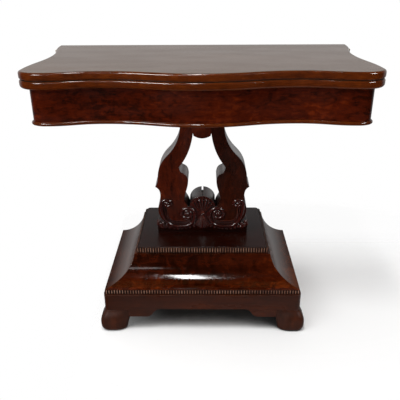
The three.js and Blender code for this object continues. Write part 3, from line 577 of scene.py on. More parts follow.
leafValues = {
    "thick": 0.021, "upperBottom": 0.716, "lowerBottom": 0.6947,
    "upperRounds": (0.007, 0.006),  # under edge, top edge
    "lowerRounds": (0.009, 0.005),
    "offFold": 0.0001, "pocketClear": 0.0003, "pocketUnder": 0.0017,
    "hinge": {"x": 0.45798, "thick": 0.0053, "length": 0.0583, "axis": 0.71585, "near": 0.0062, "far": 0.0148,
              "eye": 0.0048, "eyeNear": 0.006324, "eyePast": 0.006, "past": 0.005},
}


def leafSlab(name, bottom, rounds):
    ends = topValues["foldY"] - topValues["foldClear"]
    run = wholeRun()
    run[0].y = run[-1].y = ends
    piece = slab(name, [(p.x, p.y, bottom) for p in run], (0, 0, leafValues["thick"]))
    for level, radius in zip((bottom, bottom + leafValues["thick"]), rounds):
        flat = edgesAt(2, level)
        roundEdges(piece, lambda a, b: flat(a, b) and min(a.y, b.y) < ends - leafValues["offFold"], radius)
    return piece


def cutHingeSeats(piece, upward):  # at each end one seat for the plate and one for its eye
    seat, fold = leafValues["hinge"], topValues["foldY"]
    plateLevels = sorted(seat["axis"] + upward * seat[key] for key in ("near", "far"))
    eyeLevels = sorted((seat["axis"] + upward * seat["eyeNear"], seat["axis"] - upward * seat["eyePast"]))
    for side in (-1, 1):
        left, right = sorted((side * (seat["x"] - seat["thick"]), side * (seat["x"] + seat["past"])))
        for key, (low, high) in (("length", plateLevels), ("eye", eyeLevels)):
            cut(piece, brick("seat", (left, fold - seat[key], low), (right, fold + seat["past"], high)))


def addLeaves():
    v = leafValues
    upper = leafSlab("folding_leaf_board", v["upperBottom"], v["upperRounds"])
    cutHingeSeats(upper, 1)
    settle(upper, ["upper_leaf"], topWood, body="folding_leaf")
    lower = leafSlab("swivel_leaf_board", v["lowerBottom"], v["lowerRounds"])
    cutHingeSeats(lower, -1)
    low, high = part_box("pivot_plate")
    clear = Vector((v["pocketClear"], v["pocketClear"], v["pocketClear"]))
    cut(lower, brick("pocket", low - clear - Vector((0, 0, v["pocketUnder"])), high + clear))
    settle(lower, ["lower_leaf"], topWood, body="swivel_top")
    for piece in (upper, lower):
        faceFinish(piece, edgeWood, lambda face: abs(face.normal.z) < 0.9)


screwValues = {
    "radius": 0.0026, "deep": 0.0011, "slot": 0.0007, "slotDeep": 0.0006, "slotPast": 0.0001, "sunk": 0.00012,
    "seat": 0.0029, "ease": 0.0002, "plateEase": 0.0003,
    "places": ((0.013, 20), (0.031, -35), (0.049, 70)),  # back from the fold, turn of the slot
}


def hingeScrew(place, side, degrees):  # countersunk, with a straight slot
    v = screwValues
    middle = place - Vector((side * (v["sunk"] + v["deep"] / 2), 0, 0))
    head = rod("hinge_screw", middle, v["radius"], v["deep"])
    softened(head, v["ease"])
    face = place.x - side * v["sunk"]
    left, right = sorted((face + side * v["slotPast"], face - side * v["slotDeep"]))
    slot = brick("slot", (left, -v["seat"], -v["slot"] / 2), (right, v["seat"], v["slot"] / 2))
    turn = math.radians(degrees)
    editWhole(lambda: bpy.ops.transform.rotate(value=turn, orient_axis="X", center_override=(0, 0, 0)),
              lambda: bpy.ops.transform.translate(value=(0, place.y, place.z)))
    cut(head, slot)
    return head


def addHinges():
    v, seat = screwValues, leafValues["hinge"]
    for side, word in ((-1, "left"), (1, "right")):
        for upward, level, body in ((1, "upper", "folding_leaf"), (-1, "lower", "swivel_top")):
            node = f"{word}_hinge_{level}_plate"
            low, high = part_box(node)
            face = high.x if side > 0 else low.x
            height = seat["axis"] + upward * (seat["near"] + seat["far"]) / 2
            plate = copiedNode(node)
            heads = []
            for back, degrees in v["places"]:
                place = Vector((face, topValues["foldY"] - back, height))
                cut(plate, rod("sink", place, v["seat"], 2 * v["deep"]))
                heads.append(hingeScrew(place, side, degrees))
            softened(plate, v["plateEase"], degrees=40)
            settle(plate, [node], agedBrass, body)
            settle(joined(f"{word}_{level}_hinge_screws", *heads), [], agedBrass, body)


friezeValues = {
    "outer": 0.022, "inner": 0.044, "bottom": 0.6, "height": 0.0944, "ahead": -1, "joint": -0.12677,
    "gap": 0.00015, "back": 0.22875, "ease": 0.0006, "beadOuter": 0.0167, "beadInner": 0.0217,
    "beadHeight": 0.01, "beadRound": 0.00485, "onRun": 0.0012,
}


def addFrieze():
    v = friezeValues
    outerRun = insetRun(v["beadOuter"])
    for word, low, high, half in (("front", v["ahead"], v["joint"] - v["gap"], False),
                                  ("right", v["joint"] + v["gap"], v["back"], True)):
        rail = bandSlab(word + "_frieze", v["outer"], v["inner"], low, high, v["bottom"], v["height"], half)
        softened(rail, v["ease"], degrees=60)
        bead = bandSlab(word + "_frieze_bead", v["beadOuter"], v["beadInner"], low, high, v["bottom"],
                        v["beadHeight"], half)
        for level in (v["bottom"], v["bottom"] + v["beadHeight"]):
            flat = edgesAt(2, level)
            roundEdges(bead, lambda a, b: flat(a, b) and onRun((a + b) / 2, outerRun), v["beadRound"])
        if half:
            for piece, kind in ((rail, "rail"), (bead, "bead")):
                other = mirroredCopy(piece, piece.name.replace("right", "left"))
                settle(other, ["left_" + kind], railSideWood)
                settle(piece, ["right_" + kind], railSideWood)
        else:
            settle(rail, ["front_rail"], friezeWood)
            settle(bead, ["front_bead"], edgeWood)


def onRun(place, run):
    flat = Vector((place.x, place.y, 0))
    return min(nearness(flat, a, b) for a, b in zip(run, run[1:])) < friezeValues["onRun"]


# Lyre, with its carved foot
lyreValues = {
    "bottom": 0.2524, "top": 0.5997, "half": 0.14, "front": -0.0515, "back": 0.0285, "arris": 0.0014,
    "ease": 0.0005, "carvedFrom": 0.0003, "carvedDeep": 0.008, "carvedTop": 0.31, "flatness": 0.995,
    "shoulder": (0.45, 0.885), "valleyX": 0.0388, "valleyUp": 0.1,
    "outer": [[(0.45, 0.756), (0.6, 0.672), (0.729, 0.621)], [(0.857, 0.569), (0.936, 0.506), (0.94, 0.42)],
              [(0.94, 0.389), (0.959, 0.362), (1, 0.339)], [(0.938, 0.328), (0.901, 0.304), (0.898, 0.267)],
              [(0.899, 0.229), (0.916, 0.19), (0.95, 0.149)], [(0.971, 0.089), (0.914, 0.017), (0.764, 0)]],
    "inner": [[(0.283, 0.15), (0.345, 0.17), (0.386, 0.21)], [(0.386, 0.282), (0.3, 0.325), (0.3, 0.391)],
              [(0.305, 0.431), (0.341, 0.455), (0.407, 0.464)],
              [(0.45, 0.471), (0.477, 0.489), (0.488, 0.52)],
              [(0.329, 0.592), (0.196, 0.713), (0.182, 0.851)]],
}


def lyrePlace(shares):
    v = lyreValues
    across, up = shares
    return Vector((across * v["half"], 0, v["bottom"] + up * (v["top"] - v["bottom"])))


def lyreRun(start, segments, steps=14):
    run, here = [], start
    for segment in segments:
        a, b, there = (lyrePlace(shares) for shares in segment)
        run += interpolate_bezier(here, a, b, there, steps + 1)[1:]
        here = there
    return run


scrollValues = {
    "outerEye": (0.762, 0.185), "innerEye": (0.33, 0.088), "bottom": (0.543, -0.034),
    "outerStart": 0.0172, "outerTurns": 1.25, "outerSquash": 0.8, "innerStart": 0.0235, "innerTurns": 1.65,
    "innerSquash": 0.92, "end": 0.0058, "ease": 0.036, "turnSteps": 30, "bodySteps": 18,
    "sunk": 0.001, "rim": 0.005, "rimProud": 0.0024, "rimEnds": 0.5, "rimDeep": 1.08,
    "fillets": ((0.0098, 0.12, 0.0017), (0.0172, 0.05, 0.0024)),  # inwards, turns, thickness
    "filletEnds": 0.35, "filletDeep": 1.2, "eyes": {"outerEye": 0.0062, "innerEye": 0.0072}, "eyeDeep": 0.9,
    "scoop": {"inwards": 0.0105, "turns": (0.15, 0.2), "proud": 0.0036, "radius": 0.0088, "ends": 0.35},
}


def voluteRun(eye, startAngle, direction, startRadius, turns, squash):
    steps = round(scrollValues["turnSteps"] * turns)
    run = []
    for k in range(steps + 1):
        angle = startAngle + direction * k / steps * turns * 2 * math.pi
        radius = startRadius + (scrollValues["end"] - startRadius) * k / steps
        run.append(eye + Vector((math.cos(angle), 0, math.sin(angle) * squash)) * radius)
    return run


def scrollRun(inwards=0, outerTurns=None, innerTurns=None):  # from the outer volute, low down, to the inner
    v = scrollValues
    outerEye, innerEye, bottom = (lyrePlace(v[key]) for key in ("outerEye", "innerEye", "bottom"))
    bottom.z += inwards
    outerSize, innerSize = v["outerStart"] - inwards, v["innerStart"] - inwards
    start = outerEye + Vector((outerSize, 0, 0))
    end = innerEye - Vector((innerSize, 0, 0))
    along, down = Vector((v["ease"], 0, 0)), Vector((0, 0, -v["ease"]))
    first = interpolate_bezier(start, start + down, bottom + along, bottom, v["bodySteps"] + 1)
    second = interpolate_bezier(bottom, bottom - along, end + down, end, v["bodySteps"] + 1)
    outer = voluteRun(outerEye, 0, 1, outerSize, outerTurns or v["outerTurns"], v["outerSquash"])
    inner = voluteRun(innerEye, math.pi, -1, innerSize, innerTurns or v["innerTurns"], v["innerSquash"])
    return outer[::-1] + first[1:] + second[1:] + inner[1:]


def atDepth(run, depth):
    return [Vector((p.x, depth, p.z)) for p in run]


def tapered(count, full, ends, taper=0.22):
    radii = []
    for k in range(count):
        near = min(k, count - 1 - k) / (count * taper)
        radii.append(full * (ends + (1 - ends) * min(near, 1)))
    return radii


def lyreSupport():
    v, scoop = lyreValues, scrollValues["scoop"]
    shoulder = lyrePlace(v["shoulder"])
    valley = Vector((v["valleyX"], 0, lyrePlace((0, v["valleyUp"])).z))
    outer = lyreRun(shoulder, v["outer"])
    inner = lyreRun(valley, v["inner"])
    foot = Vector((v["valleyX"], 0, v["bottom"]))
    outline = [Vector((shoulder.x, 0, v["top"])), shoulder, *outer, foot, valley, *inner,
               Vector((inner[-1].x, 0, v["top"]))]
    board = slab("right_lyre_board", atDepth(outline, v["front"]), (0, v["back"] - v["front"], 0))
    for depth in (v["front"], v["back"]):
        roundEdges(board, edgesAt(1, depth), v["arris"], 3)
    hollow = scrollRun(scoop["inwards"], *scoop["turns"])
    cut(board, tube("scoop", atDepth(hollow, v["front"] - scoop["proud"]),
                    tapered(len(hollow), scoop["radius"], scoop["ends"]), 24))
    return board


def scrollCarving():
    v = scrollValues
    plane = lyreValues["front"] + v["sunk"]
    path = scrollRun()
    parts = [tube("rim", atDepth(path, plane - v["rimProud"]), tapered(len(path), v["rim"], v["rimEnds"]), 16,
                  v["rimDeep"], plane)]
    for inwards, turns, size in v["fillets"]:
        line = scrollRun(inwards, turns, turns * 2)
        parts.append(tube("fillet", atDepth(line, plane), tapered(len(line), size, v["filletEnds"]), 12,
                          v["filletDeep"], plane))
    for key, size in v["eyes"].items():
        eye = lyrePlace(v[key])
        parts.append(ball("eye", (eye.x, plane - v["sunk"], eye.z), size, 24, 14, v["eyeDeep"]))
    return parts


pendantValues = {"bottom": 0.5297, "sag": 0.0095, "overlap": 0.0009, "front": -0.0512, "back": 0.0265,
                 "ease": 0.001, "steps": 10}


def addPendant():  # fills the neck between the supports and hangs in a curve below them
    v = pendantValues
    inner = lyreRun(Vector((lyreValues["valleyX"], 0, 0)), lyreValues["inner"])
    side = [Vector((p.x + v["overlap"], 0, p.z)) for p in inner if p.z > v["bottom"]]
    side.append(Vector((side[-1].x, 0, lyreValues["top"])))
    sag = []
    for k in range(1, 2 * v["steps"]):
        share = k / v["steps"] - 1
        sag.append(Vector((side[0].x * share, 0, v["bottom"] - v["sag"] * (1 - share ** 2))))
    outline = [Vector((-p.x, 0, p.z)) for p in reversed(side)] + sag + side
    piece = slab("lyre_pendant_block", atDepth(outline, v["front"]), (0, v["back"] - v["front"], 0))
    softened(piece, v["ease"])
    settle(piece, ["lyre_pendant"], lyreWood)


fringeValues = {
    "plane": -0.0495, "low": 0.2445, "leaves": 10, "first": 0.028, "last": 0.13, "length": 0.0165,
    "wide": 0.0066, "thick": 0.75, "lean": 0.8, "upright": 0.25, "flick": 0.0055, "rise": 0.012,
    "lowest": 0.42, "steps": 8, "root": 0.35, "swell": 1.5, "point": 0.6, "least": 0.0004,
    "endLeaf": [(0.118, 0.235), (0.129, 0.239), (0.136, 0.25), (0.1365, 0.262)],
    "endSteps": 11, "endWide": 0.006, "endLeast": 0.0006, "endThick": 0.7,
}


def fringeLeaf(start, lean):  # a small pointed leaf whose tip turns forward
    v = fringeValues
    places, radii = [], []
    for step in range(v["steps"] + 1):
        share = step / v["steps"]
        down = Vector((lean * share, 0, -1)) * v["length"] * share
        places.append(start + down - Vector((0, v["flick"] * share ** 2, 0)))
        radii.append(v["wide"] * (v["root"] + v["swell"] * share) * (1 - share) ** v["point"] + v["least"])
    return tube("fringe", places, radii, 12, v["thick"], v["plane"])


def addFringe():
    v = fringeValues
    leaves = []
    for k in range(v["leaves"]):
        share = k / (v["leaves"] - 1)
        x = v["first"] + (v["last"] - v["first"]) * share
        rise = v["rise"] * (2 * abs(share - v["lowest"])) ** 2
        start = Vector((x, v["plane"], v["low"] + rise))
        leaves.append(fringeLeaf(start, v["lean"] * (share - v["upright"])))
    low, turn, high, end = (Vector((x, v["plane"], z)) for x, z in v["endLeaf"])
    run = interpolate_bezier(low, turn, high, end, v["endSteps"] + 1)
    radii = [v["endWide"] * (1 - (k / v["endSteps"]) ** 2) + v["endLeast"] for k in range(v["endSteps"] + 1)]
    leaves.append(tube("end_leaf", run, radii, 12, v["endThick"], v["plane"]))
    right = joined("right_leaf_fringe", *leaves)
    left = mirroredCopy(right, "left_leaf_fringe")
    for piece in (right, left):
        settle(piece, [], carvedWood)


def isCarved(face):  # the proud carving and the hollow that is cut behind it
    v = lyreValues
    plane = v["front"] - v["carvedFrom"]
    if face.center.y < plane:
        return True
    nearFoot = face.center.y < plane + v["carvedDeep"] and face.center.z < v["carvedTop"]
    return nearFoot and abs(face.normal.y) < v["flatness"]


def addLyre():
    board = lyreSupport()
    softened(board, lyreValues["ease"], segments=1)
    right = joined("right_lyre_carved", board, *scrollCarving())
    left = mirroredCopy(right, "left_lyre_carved")
    # The right support takes the darker copy of the lyre wood: painted shade
    for piece, word, finish in ((right, "right", lyreShadedWood), (left, "left", lyreWood)):
        settle(piece, [word + "_lyre_support"], finish)
        faceFinish(piece, carvedWood, isCarved)
    addPendant()
    addFringe()


shellValues = {
    "halfWidth": 0.0385, "radius": 0.04, "centre": 0.2994, "bottom": 0.2524, "front": -0.0495, "back": 0.0285,
    "steps": 32, "ease": 0.0012, "past": 0.01, "hub": 0.2804, "hubSize": 0.0048, "proud": 0.001,
    "crownCuts": ((0.005, -0.015, 0.035, 0.012), (0.0014, -0.044, -0.014, 0.0035)),  # width, from, to, depth
    "carvedDeep": 0.002,
    "flutes": {"count": 7, "middle": 0, "spread": 76, "length": 0.0545, "tip": 0.0054, "proud": 0,
               "deep": 1.5},
    "feathers": {"count": 9, "middle": 180, "spread": 66, "length": 0.05, "tip": 0.0036, "proud": 0.001,
                 "deep": 1.3},
    "root": 0.0015, "start": 0.004, "shorter": 0.1, "lobeSteps": 12, "roundFrom": 0.82, "roundOver": 0.19,
    "blunt": 0.02,
}


def lobeFan(fan):  # flutes over the hub or feathers under it, with round tips
    v = shellValues
    plane = v["front"] - fan["proud"]
    lobes = []
    for k in range(fan["count"]):
        share = k / (fan["count"] - 1)
        angle = math.radians(fan["middle"]) + math.radians(fan["spread"]) * (share - 0.5)
        along = Vector((math.sin(angle), 0, math.cos(angle)))
        reach = fan["length"] * (1 - v["shorter"] * abs(2 * share - 1)) - v["start"]
        run, radii = [], []
        for step in range(v["lobeSteps"] + 1):
            out = step / v["lobeSteps"]
            past = max((out - v["roundFrom"]) / v["roundOver"], 0)
            size = v["root"] + (fan["tip"] - v["root"]) * out
            run.append(Vector((0, plane, v["hub"])) + along * (v["start"] + reach * out))
            radii.append(size * math.sqrt(max(1 - past ** 2, v["blunt"])))
        lobes.append(tube("lobe", run, radii, 12, fan["deep"], plane))
    return lobes


def addShell():
    v = shellValues
    start = math.acos(v["halfWidth"] / v["radius"])
    middle = Vector((0, v["front"], v["centre"]))
    arc = []
    for k in range(v["steps"] + 1):
        angle = start + (math.pi - 2 * start) * k / v["steps"]
        arc.append(middle + Vector((math.cos(angle), 0, math.sin(angle))) * v["radius"])
    corners = [Vector((side * v["halfWidth"], v["front"], v["bottom"])) for side in (1, -1)]
    body = slab("shell_body", [corners[0], *arc, corners[1]], (0, v["back"] - v["front"], 0))
    crown = v["centre"] + v["radius"]
    for width, near, far, deep in v["crownCuts"]:
        cut(body, brick("cutter", (-width / 2, near, crown - deep), (width / 2, far, crown + v["past"])))
    softened(body, v["ease"], segments=3)
    hub = ball("hub", (0, v["front"] - v["proud"], v["hub"]), v["hubSize"], 20, 12)
    piece = joined("shell_and_feathers", body, *lobeFan(v["flutes"]), *lobeFan(v["feathers"]), hub)
    settle(piece, ["shell_block"], carvedWood)
    # Faces behind the carved front take the darker copy of the lyre wood: painted shade
    faceFinish(piece, lyreShadedWood, lambda face: face.center.y > v["front"] + v["carvedDeep"])


# Plinth
coveValues = {
    "half": 0.2765, "front": -0.23725, "back": 0.12275, "bottom": 0.1318, "top": 0.2045, "lip": 0.0025,
    "run": 0.079, "rise": 0.082, "base": 0.1, "gap": 0.00021, "spare": 0.01, "ease": 0.0005, "steps": 28,
}


def coveSection():
    v = coveValues
    centre = v["bottom"] + v["lip"] + v["rise"]
    stop = math.asin((centre - v["top"]) / v["rise"])
    section = [(0, v["bottom"])]
    for k in range(v["steps"] + 1):
        turn = math.pi / 2 + (stop - math.pi / 2) * k / v["steps"]
        section.append((v["run"] * math.cos(turn), centre - v["rise"] * math.sin(turn)))
    return section + [(v["base"], v["top"]), (v["base"], v["bottom"])]


def addCove():  # the front and the sides meet in mitres
    v = coveValues
    section = coveSection()
    reach = v["half"] + v["spare"]
    corner = Vector((v["half"], v["front"], 0))
    front = slab("cove_front_moulding", [(-reach, v["front"] + i, z) for i, z in section], (2 * reach, 0, 0))
    bisected(front, corner - Vector((v["gap"], 0, 0)), (1, 1, 0))
    bisected(front, Vector((v["gap"] - v["half"], v["front"], 0)), (-1, 1, 0))
    side = slab("cove_right_moulding", [(v["half"] - i, v["front"] - v["spare"], z) for i, z in section],
                (0, v["back"] - v["front"] + v["spare"], 0))
    bisected(side, corner + Vector((0, v["gap"], 0)), (-1, -1, 0))
    for piece in (front, side):
        focus(piece)
        editWhole(faceOutwards)
        softened(piece, v["ease"])
    other = mirroredCopy(side, "cove_left_moulding")
    settle(front, ["cove_front"], coveWood)
    settle(side, ["cove_right"], coveSideWood)
    settle(other, ["cove_left"], coveSideWood)


rippleValues = {
    "platform": {"half": 0.192, "front": -0.15275, "bottom": 0.2048, "height": 0.016, "pitch": 0.0075,
                 "back": 0.1135},
    "base": {"half": 0.2765, "front": -0.23725, "bottom": 0.1183, "height": 0.0132, "pitch": 0.0077,
             "back": 0.12275},
    "ground": 0.0034, "reach": 0.006, "gap": 0.0003, "slim": 0.2, "middle": 0.52, "tall": 0.46,
    "endRound": 0.3, "crest": 0.002, "facing": 0.8, "ease": 0.0004,
}


def rib(v, pitch):  # one reed with rounded ends, at the start of its strip
    r = rippleValues
    bpy.ops.mesh.primitive_cylinder_add(vertices=10, radius=1, depth=2)
    piece = named("rib")
    roundEdges(piece, isLevel, r["endRound"], 2)
    place = (pitch / 2, -r["reach"] / 2, v["height"] * r["middle"])
    editWhole(resized((pitch * r["slim"], r["reach"] / 2, v["height"] * r["tall"])),
              lambda: bpy.ops.transform.translate(value=place))
    return piece


def rippleStrip(name, v, length):
    count = round(length / v["pitch"])
    pitch = length / count
    piece = rib(v, pitch)
    applied(piece, "ARRAY", count=count, use_relative_offset=False, use_constant_offset=True,
            constant_offset_displace=(pitch, 0, 0))
    strip = brick("strip", (0, -rippleValues["ground"], 0), (length, 0, v["height"]))
    softened(strip, rippleValues["ease"], segments=1, degrees=60)
    return joined(name, piece, strip)


def addRipples():
    r = rippleValues
    quarterTurn = Matrix.Rotation(math.radians(90), 4, "Z")
    for prefix in ("platform", "base"):
        v = r[prefix]
        front = rippleStrip(prefix + "_reeding_front", v, 2 * v["half"])
        front.data.transform(Matrix.Translation((-v["half"], v["front"] + r["reach"], v["bottom"])))
        start = v["front"] + r["reach"] + r["gap"]
        side = rippleStrip(prefix + "_reeding_right", v, v["back"] - start)
        side.data.transform(Matrix.Translation((v["half"] - r["reach"], start, v["bottom"])) @ quarterTurn)
        other = mirroredCopy(side, prefix + "_reeding_left")
        for piece, word, axis, face in ((front, "front", 1, -v["front"]), (side, "right", 0, v["half"]),
                                        (other, "left", 0, v["half"])):
            # The pale crests are a painted highlight; the dark ground between the reeds is painted shade
            settle(piece, [prefix + "_ripple_" + word], reedShadeWood)
            faceFinish(piece, crestHighlightWood, lambda item: abs(item.normal[axis]) > r["facing"]
                       and abs(item.center[axis]) > face - r["crest"])


footValues = {
    "height": 0.066, "width": 0.068, "proud": 0.013, "round": 0.0136, "floorRound": 0.009, "floorShare": 0.4,
    "floorEase": 1.5, "bracketShare": 0.67, "cheek": 0.036, "inset": 0.01, "innerTrim": 0.005,
    "inner": 0.2135, "front": -0.24225, "back": 0.12275, "ease": 0.0006, "rings": 22, "cornerSteps": 12,
    "cheekSteps": 8,
    # share of the height, share of the swell, tuck as a share of the width
    "shape": [(0, 0.7, 0.06), (0.03, 0.84, 0.03), (0.08, 0.93, 0.014), (0.16, 0.98, 0.005), (0.28, 1, 0),
              (0.48, 1, 0), (0.62, 0.9, 0), (0.74, 0.67, 0), (0.85, 0.36, 0), (0.94, 0.1, 0), (1, 0, 0)],
}


def shapeAt(up):
    rows = footValues["shape"]
    for k, (here, there) in enumerate(zip(rows, rows[1:])):
        if up <= there[0]:
            share = (up - here[0]) / (there[0] - here[0])
            before = rows[max(k - 1, 0)]
            after = rows[min(k + 2, len(rows) - 1)]
            return [smoothStep(before, here, there, after, column, share) for column in (1, 2)]
    return rows[-1][1:]


def smoothStep(before, here, there, after, column, share):
    width = there[0] - here[0]
    slopeHere = (there[column] - before[column]) / max(there[0] - before[0], 0.001) * width
    slopeThere = (after[column] - here[column]) / max(after[0] - here[0], 0.001) * width
    s2, s3 = share ** 2, share ** 3
    value = ((2 * s3 - 3 * s2 + 1) * here[column] + (s3 - 2 * s2 + share) * slopeHere
             + (3 * s2 - 2 * s3) * there[column] + (s3 - s2) * slopeThere)
    return min(max(value, 0), 1)


def footCheek(left, near, free):  # from the bracket's face out to the swell, round where the foot stands free
    v = footValues
    points = []
    for k in range(v["cheekSteps"] + 1):
        turn = math.pi / 2 * k / v["cheekSteps"]
        along = free * (1 - math.cos(turn)) + (1 - free) * k / v["cheekSteps"]
        across = free * math.sin(turn) + (1 - free) * (1 - math.cos(2 * turn)) / 2
        inset = v["inset"] * free
        points.append((left + v["cheek"] * along, inset + (near - inset) * across))
    return points


def footRing(up, swellsFront):
    v = footValues
    swell, tuckIn = shapeAt(up)
    tuck = v["width"] * tuckIn
    free = (1 + math.cos(math.pi * min(up / v["bracketShare"], 1))) / 2
    left = tuck + v["innerTrim"] * free
    out = v["proud"] * swell - tuck
    near = -out if swellsFront else tuck
    right, far = v["width"] + out, v["width"] - left
    corner = v["round"] + v["floorRound"] * max(1 - up / v["floorShare"], 0) ** v["floorEase"]
    ring = [(left, far), (left, (far + v["inset"]) / 2)]
    ring += footCheek(left, near, free)
    for k in range(v["cornerSteps"] + 1):
        turn = math.pi / 2 * (k / v["cornerSteps"] - 1)
        ring.append((right - corner * (1 - math.cos(turn)), near + corner * (1 + math.sin(turn))))
    ring += [(v["width"] - y, v["width"] - x) for x, y in reversed(footCheek(left, -out, free))]
    return [Vector((x, y, up * v["height"])) for x, y in ring]


def loftThrough(name, rings):
    piece = joined(name, *[outlineFace("loop", ring, "NOTHING") for ring in rings])
    editWhole(bpy.ops.mesh.bridge_edge_loops, lambda: bpy.ops.mesh.fill_holes(sides=0), faceOutwards)
    return piece


def addFeet():
    v = footValues
    shares = [k / v["rings"] for k in range(v["rings"] + 1)]
    for word, swells, depth in (("front", True, v["front"]), ("back", False, v["back"])):
        flip = 1 if swells else -1
        rings = []
        for up in shares:
            rings.append([Vector((p.x + v["inner"], depth + flip * p.y, p.z)) for p in footRing(up, swells)])
        right = loftThrough(word + "_right_bracket_foot", rings)
        softened(right, v["ease"])
        left = mirroredCopy(right, word + "_left_bracket_foot")
        settle(right, [word + "_right_foot"], footWood)
        settle(left, [word + "_left_foot"], footWood)


# Nodes whose shape is right: their edges are eased and they get their own finish
easedNodes = [
    (("skirt_front", "skirt_left", "skirt_right"), "mahogany", plinthWood, 0.0005),
    (("lyre_base_block",), "mahogany", blockWood, 0.0016),
    (("back_rail",), "mahogany", friezeWood, 0.0008),
    (("base_board", "plinth_back", "skirt_back", "left_well_board", "right_well_board"),
     "pine", pineLong, 0.0008),
    (("centre_bearer", "pivot_rail"), "pine", pineDeep, 0.0008),
    (("swivel_stop", "back_left_frame_block", "back_right_frame_block", "front_left_frame_block",
      "front_right_frame_block", "front_right_plinth_block", "front_left_plinth_block",
      "back_right_plinth_block", "back_left_plinth_block"), "pine", pineBlock, 0.0012),
    (("pivot_plate", "pivot_bolt", "pivot_washer", "pivot_nut"), "iron", blackIron, 0.0006),
    (("left_hinge_pin", "right_hinge_pin"), "brass", agedBrass, 0.0004),
]


def bodyOf(node):
    return next(body for body, members in frame["record"]["behaviour"]["bodies"].items() if node in members)


boardValues = {"cornerRound": 0.009, "ease": 0.0012, "near": 0.001}


def addPlatformBoard():  # its two back corners are rounded off
    v = boardValues
    board = copiedNode("platform_board")
    low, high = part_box("platform_board")
    roundEdges(board, lambda a, b: not isLevel(a, b) and min(a.y, b.y) > high.y - v["near"]
               and abs(abs(a.x) - high.x) < v["near"], v["cornerRound"])
    softened(board, v["ease"], segments=3)
    settle(board, ["platform_board"], boardWood)


def addEasedNodes():
    for names, slot, finish, radius in easedNodes:
        for node in names:
            piece = copiedNode(node)
            softened(piece, radius, degrees=30)
            settle(piece, [node], finish, bodyOf(node))


# Floor, world and lamps
floorValues = {
    "radius": 2.4, "centre": (-0.25, 0, 0), "spread": (1, 1.5, 1), "fadeOut": (0.42, 1.05),
    "fadeLeft": (-0.28, -0.34), "fadeBack": (-0.05, 0.4, 0, 0.9), "contact": 0.32,
    "paperWithPaintedShadow": (0.22, 0.58, 0.04, 0.97), "glow": 0.09, "inPolish": 0.3,
}


def addFloor():  # white paper, darkened by ambient occlusion as a painted shadow where the plinth closes it in, and clear further out
    v = floorValues
    bpy.ops.mesh.primitive_circle_add(vertices=96, radius=v["radius"], fill_type="NGON")
    floor = named("studio_floor")
    material, tree, shader = newMaterial("floor_paper")
    place = put(tree, "TexCoord").outputs["Object"]
    centred = put(tree, "VectorMath", {0: place, 1: v["centre"]}, operation="ADD").outputs[0]
    spread = stretched(tree, centred, v["spread"])
    away = put(tree, "VectorMath", {0: spread}, operation="LENGTH").outputs["Value"]
    axes = put(tree, "SeparateXYZ", {0: place}).outputs
    fade = between(tree, away, *v["fadeOut"])
    for axis, key in (("X", "fadeLeft"), ("Y", "fadeBack")):
        fade = mathStep(tree, "MAXIMUM", fade, between(tree, axes[axis], *v[key]))
    # Ambient occlusion darkens the paper and its glow: a painted shadow
    openness = put(tree, "AmbientOcclusion", {"Distance": v["contact"]}, samples=16).outputs["AO"]
    paperWithPaintedShadow = between(tree, openness, *v["paperWithPaintedShadow"])
    glossy = put(tree, "LightPath").outputs["Is Glossy Ray"]
    shade = blendValue(tree, glossy, paperWithPaintedShadow, mathStep(tree, "MULTIPLY", paperWithPaintedShadow, v["inPolish"]))
    feed(tree, shader, {
        "Base Color": greyColor(tree, shade), "Roughness": 0.9, "Specular IOR Level": 0.1,
        "Emission Color": (1, 1, 1, 1), "Emission Strength": mathStep(tree, "MULTIPLY", paperWithPaintedShadow, v["glow"])})
    clear = put(tree, "BsdfTransparent").outputs[0]
    mixed = put(tree, "MixShader", {0: fade, 1: shader.outputs[0], 2: clear}).outputs[0]
    tree.links.new(mixed, tree.nodes["Material Output"].inputs["Surface"])
    floor.data.materials.append(material)


worldValues = {"above": (0.22, 0.6, 1, 0.12), "below": (-0.4, 0, 0.3, 1), "behind": (0, 0.5, 0.02, 0.7),
               "around": (-0.6, 0.9, 0.86, 0.34)}


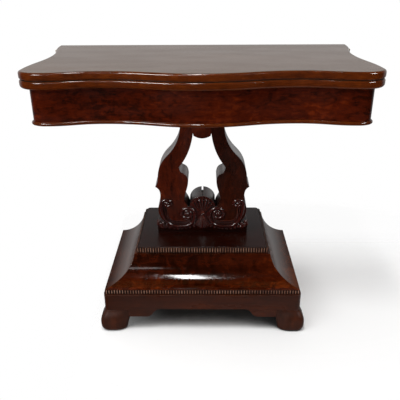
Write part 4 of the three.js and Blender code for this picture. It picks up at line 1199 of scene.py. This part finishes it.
def addWorld():  # white to the camera, and a dim room for the light and for the polish
    v = worldValues
    world = bpy.data.worlds.new("studio_world")
    bpy.context.scene.world = world
    world.use_nodes = True
    tree = world.node_tree
    rays = put(tree, "LightPath").outputs
    axes = put(tree, "SeparateXYZ", {0: put(tree, "TexCoord").outputs["Generated"]}).outputs
    behind = between(tree, axes["Y"], *v["behind"])
    for key in ("above", "below"):
        behind = mathStep(tree, "MULTIPLY", behind, between(tree, axes["Z"], *v[key]))
    around = between(tree, axes["X"], *v["around"])
    mirrored = mathStep(tree, "MAXIMUM", rays["Is Glossy Ray"], rays["Is Transmission Ray"])
    strength = blendValue(tree, rays["Is Camera Ray"], blendValue(tree, mirrored, around, behind), 1)
    feed(tree, tree.nodes["Background"], {"Color": (1, 1, 1, 1), "Strength": strength})


# Gleams show only in the polish, the window only in the colour
lampValues = [  # name, place, aim, width, depth, watts
    ("overhead_softbox", (-0.12, -0.72, 2.6), (-0.05, -0.19, 0.15), 0.2, 0.7, 21),
    ("left_window", (-1.5, -1.6, 2.1), (0, -0.1, 0.5), 1.6, 0.8, 18),
    ("left_gleam", (-1.1, -1.6, 1.45), (0, -0.1, 0.3), 0.6, 0.35, 26),
    ("right_gleam", (1.4, -1.1, 1.45), (0, -0.1, 0.3), 0.6, 0.35, 26),
    ("side_gleam", (-1.5, -1.6, 2.1), (0, -0.1, 0.5), 1.6, 0.8, 5),
    ("front_gleam", (-0.5, -1.9, 1.7), (0, -0.1, 0.5), 0.35, 0.25, 0.9),
    ("corner_gleam", (-1.05, -1.8, 1.7), (0, -0.1, 0.5), 0.3, 0.25, 5),
]


def addLamps():
    for name, place, aim, width, depth, watts in lampValues:
        bpy.ops.object.light_add(type="AREA", location=place)
        lamp = bpy.context.object
        lamp.name = name
        lamp.rotation_euler = (Vector(aim) - Vector(place)).to_track_quat("-Z", "Y").to_euler()
        lamp.data.shape = "RECTANGLE"
        lamp.data.size = width
        lamp.data.size_y = depth
        lamp.data.energy = watts
        lamp.visible_diffuse = "gleam" not in name
        lamp.visible_glossy = "window" not in name


bpy.context.scene.view_settings.view_transform = "Standard"
for stage in (addCamera, addFloor, addWorld, addLamps, addLeaves, addHinges, addFrieze, addLyre, addShell,
              addCove, addRipples, addFeet, addPlatformBoard, addEasedNodes):
    stage()
    print(stage.__name__, "done")
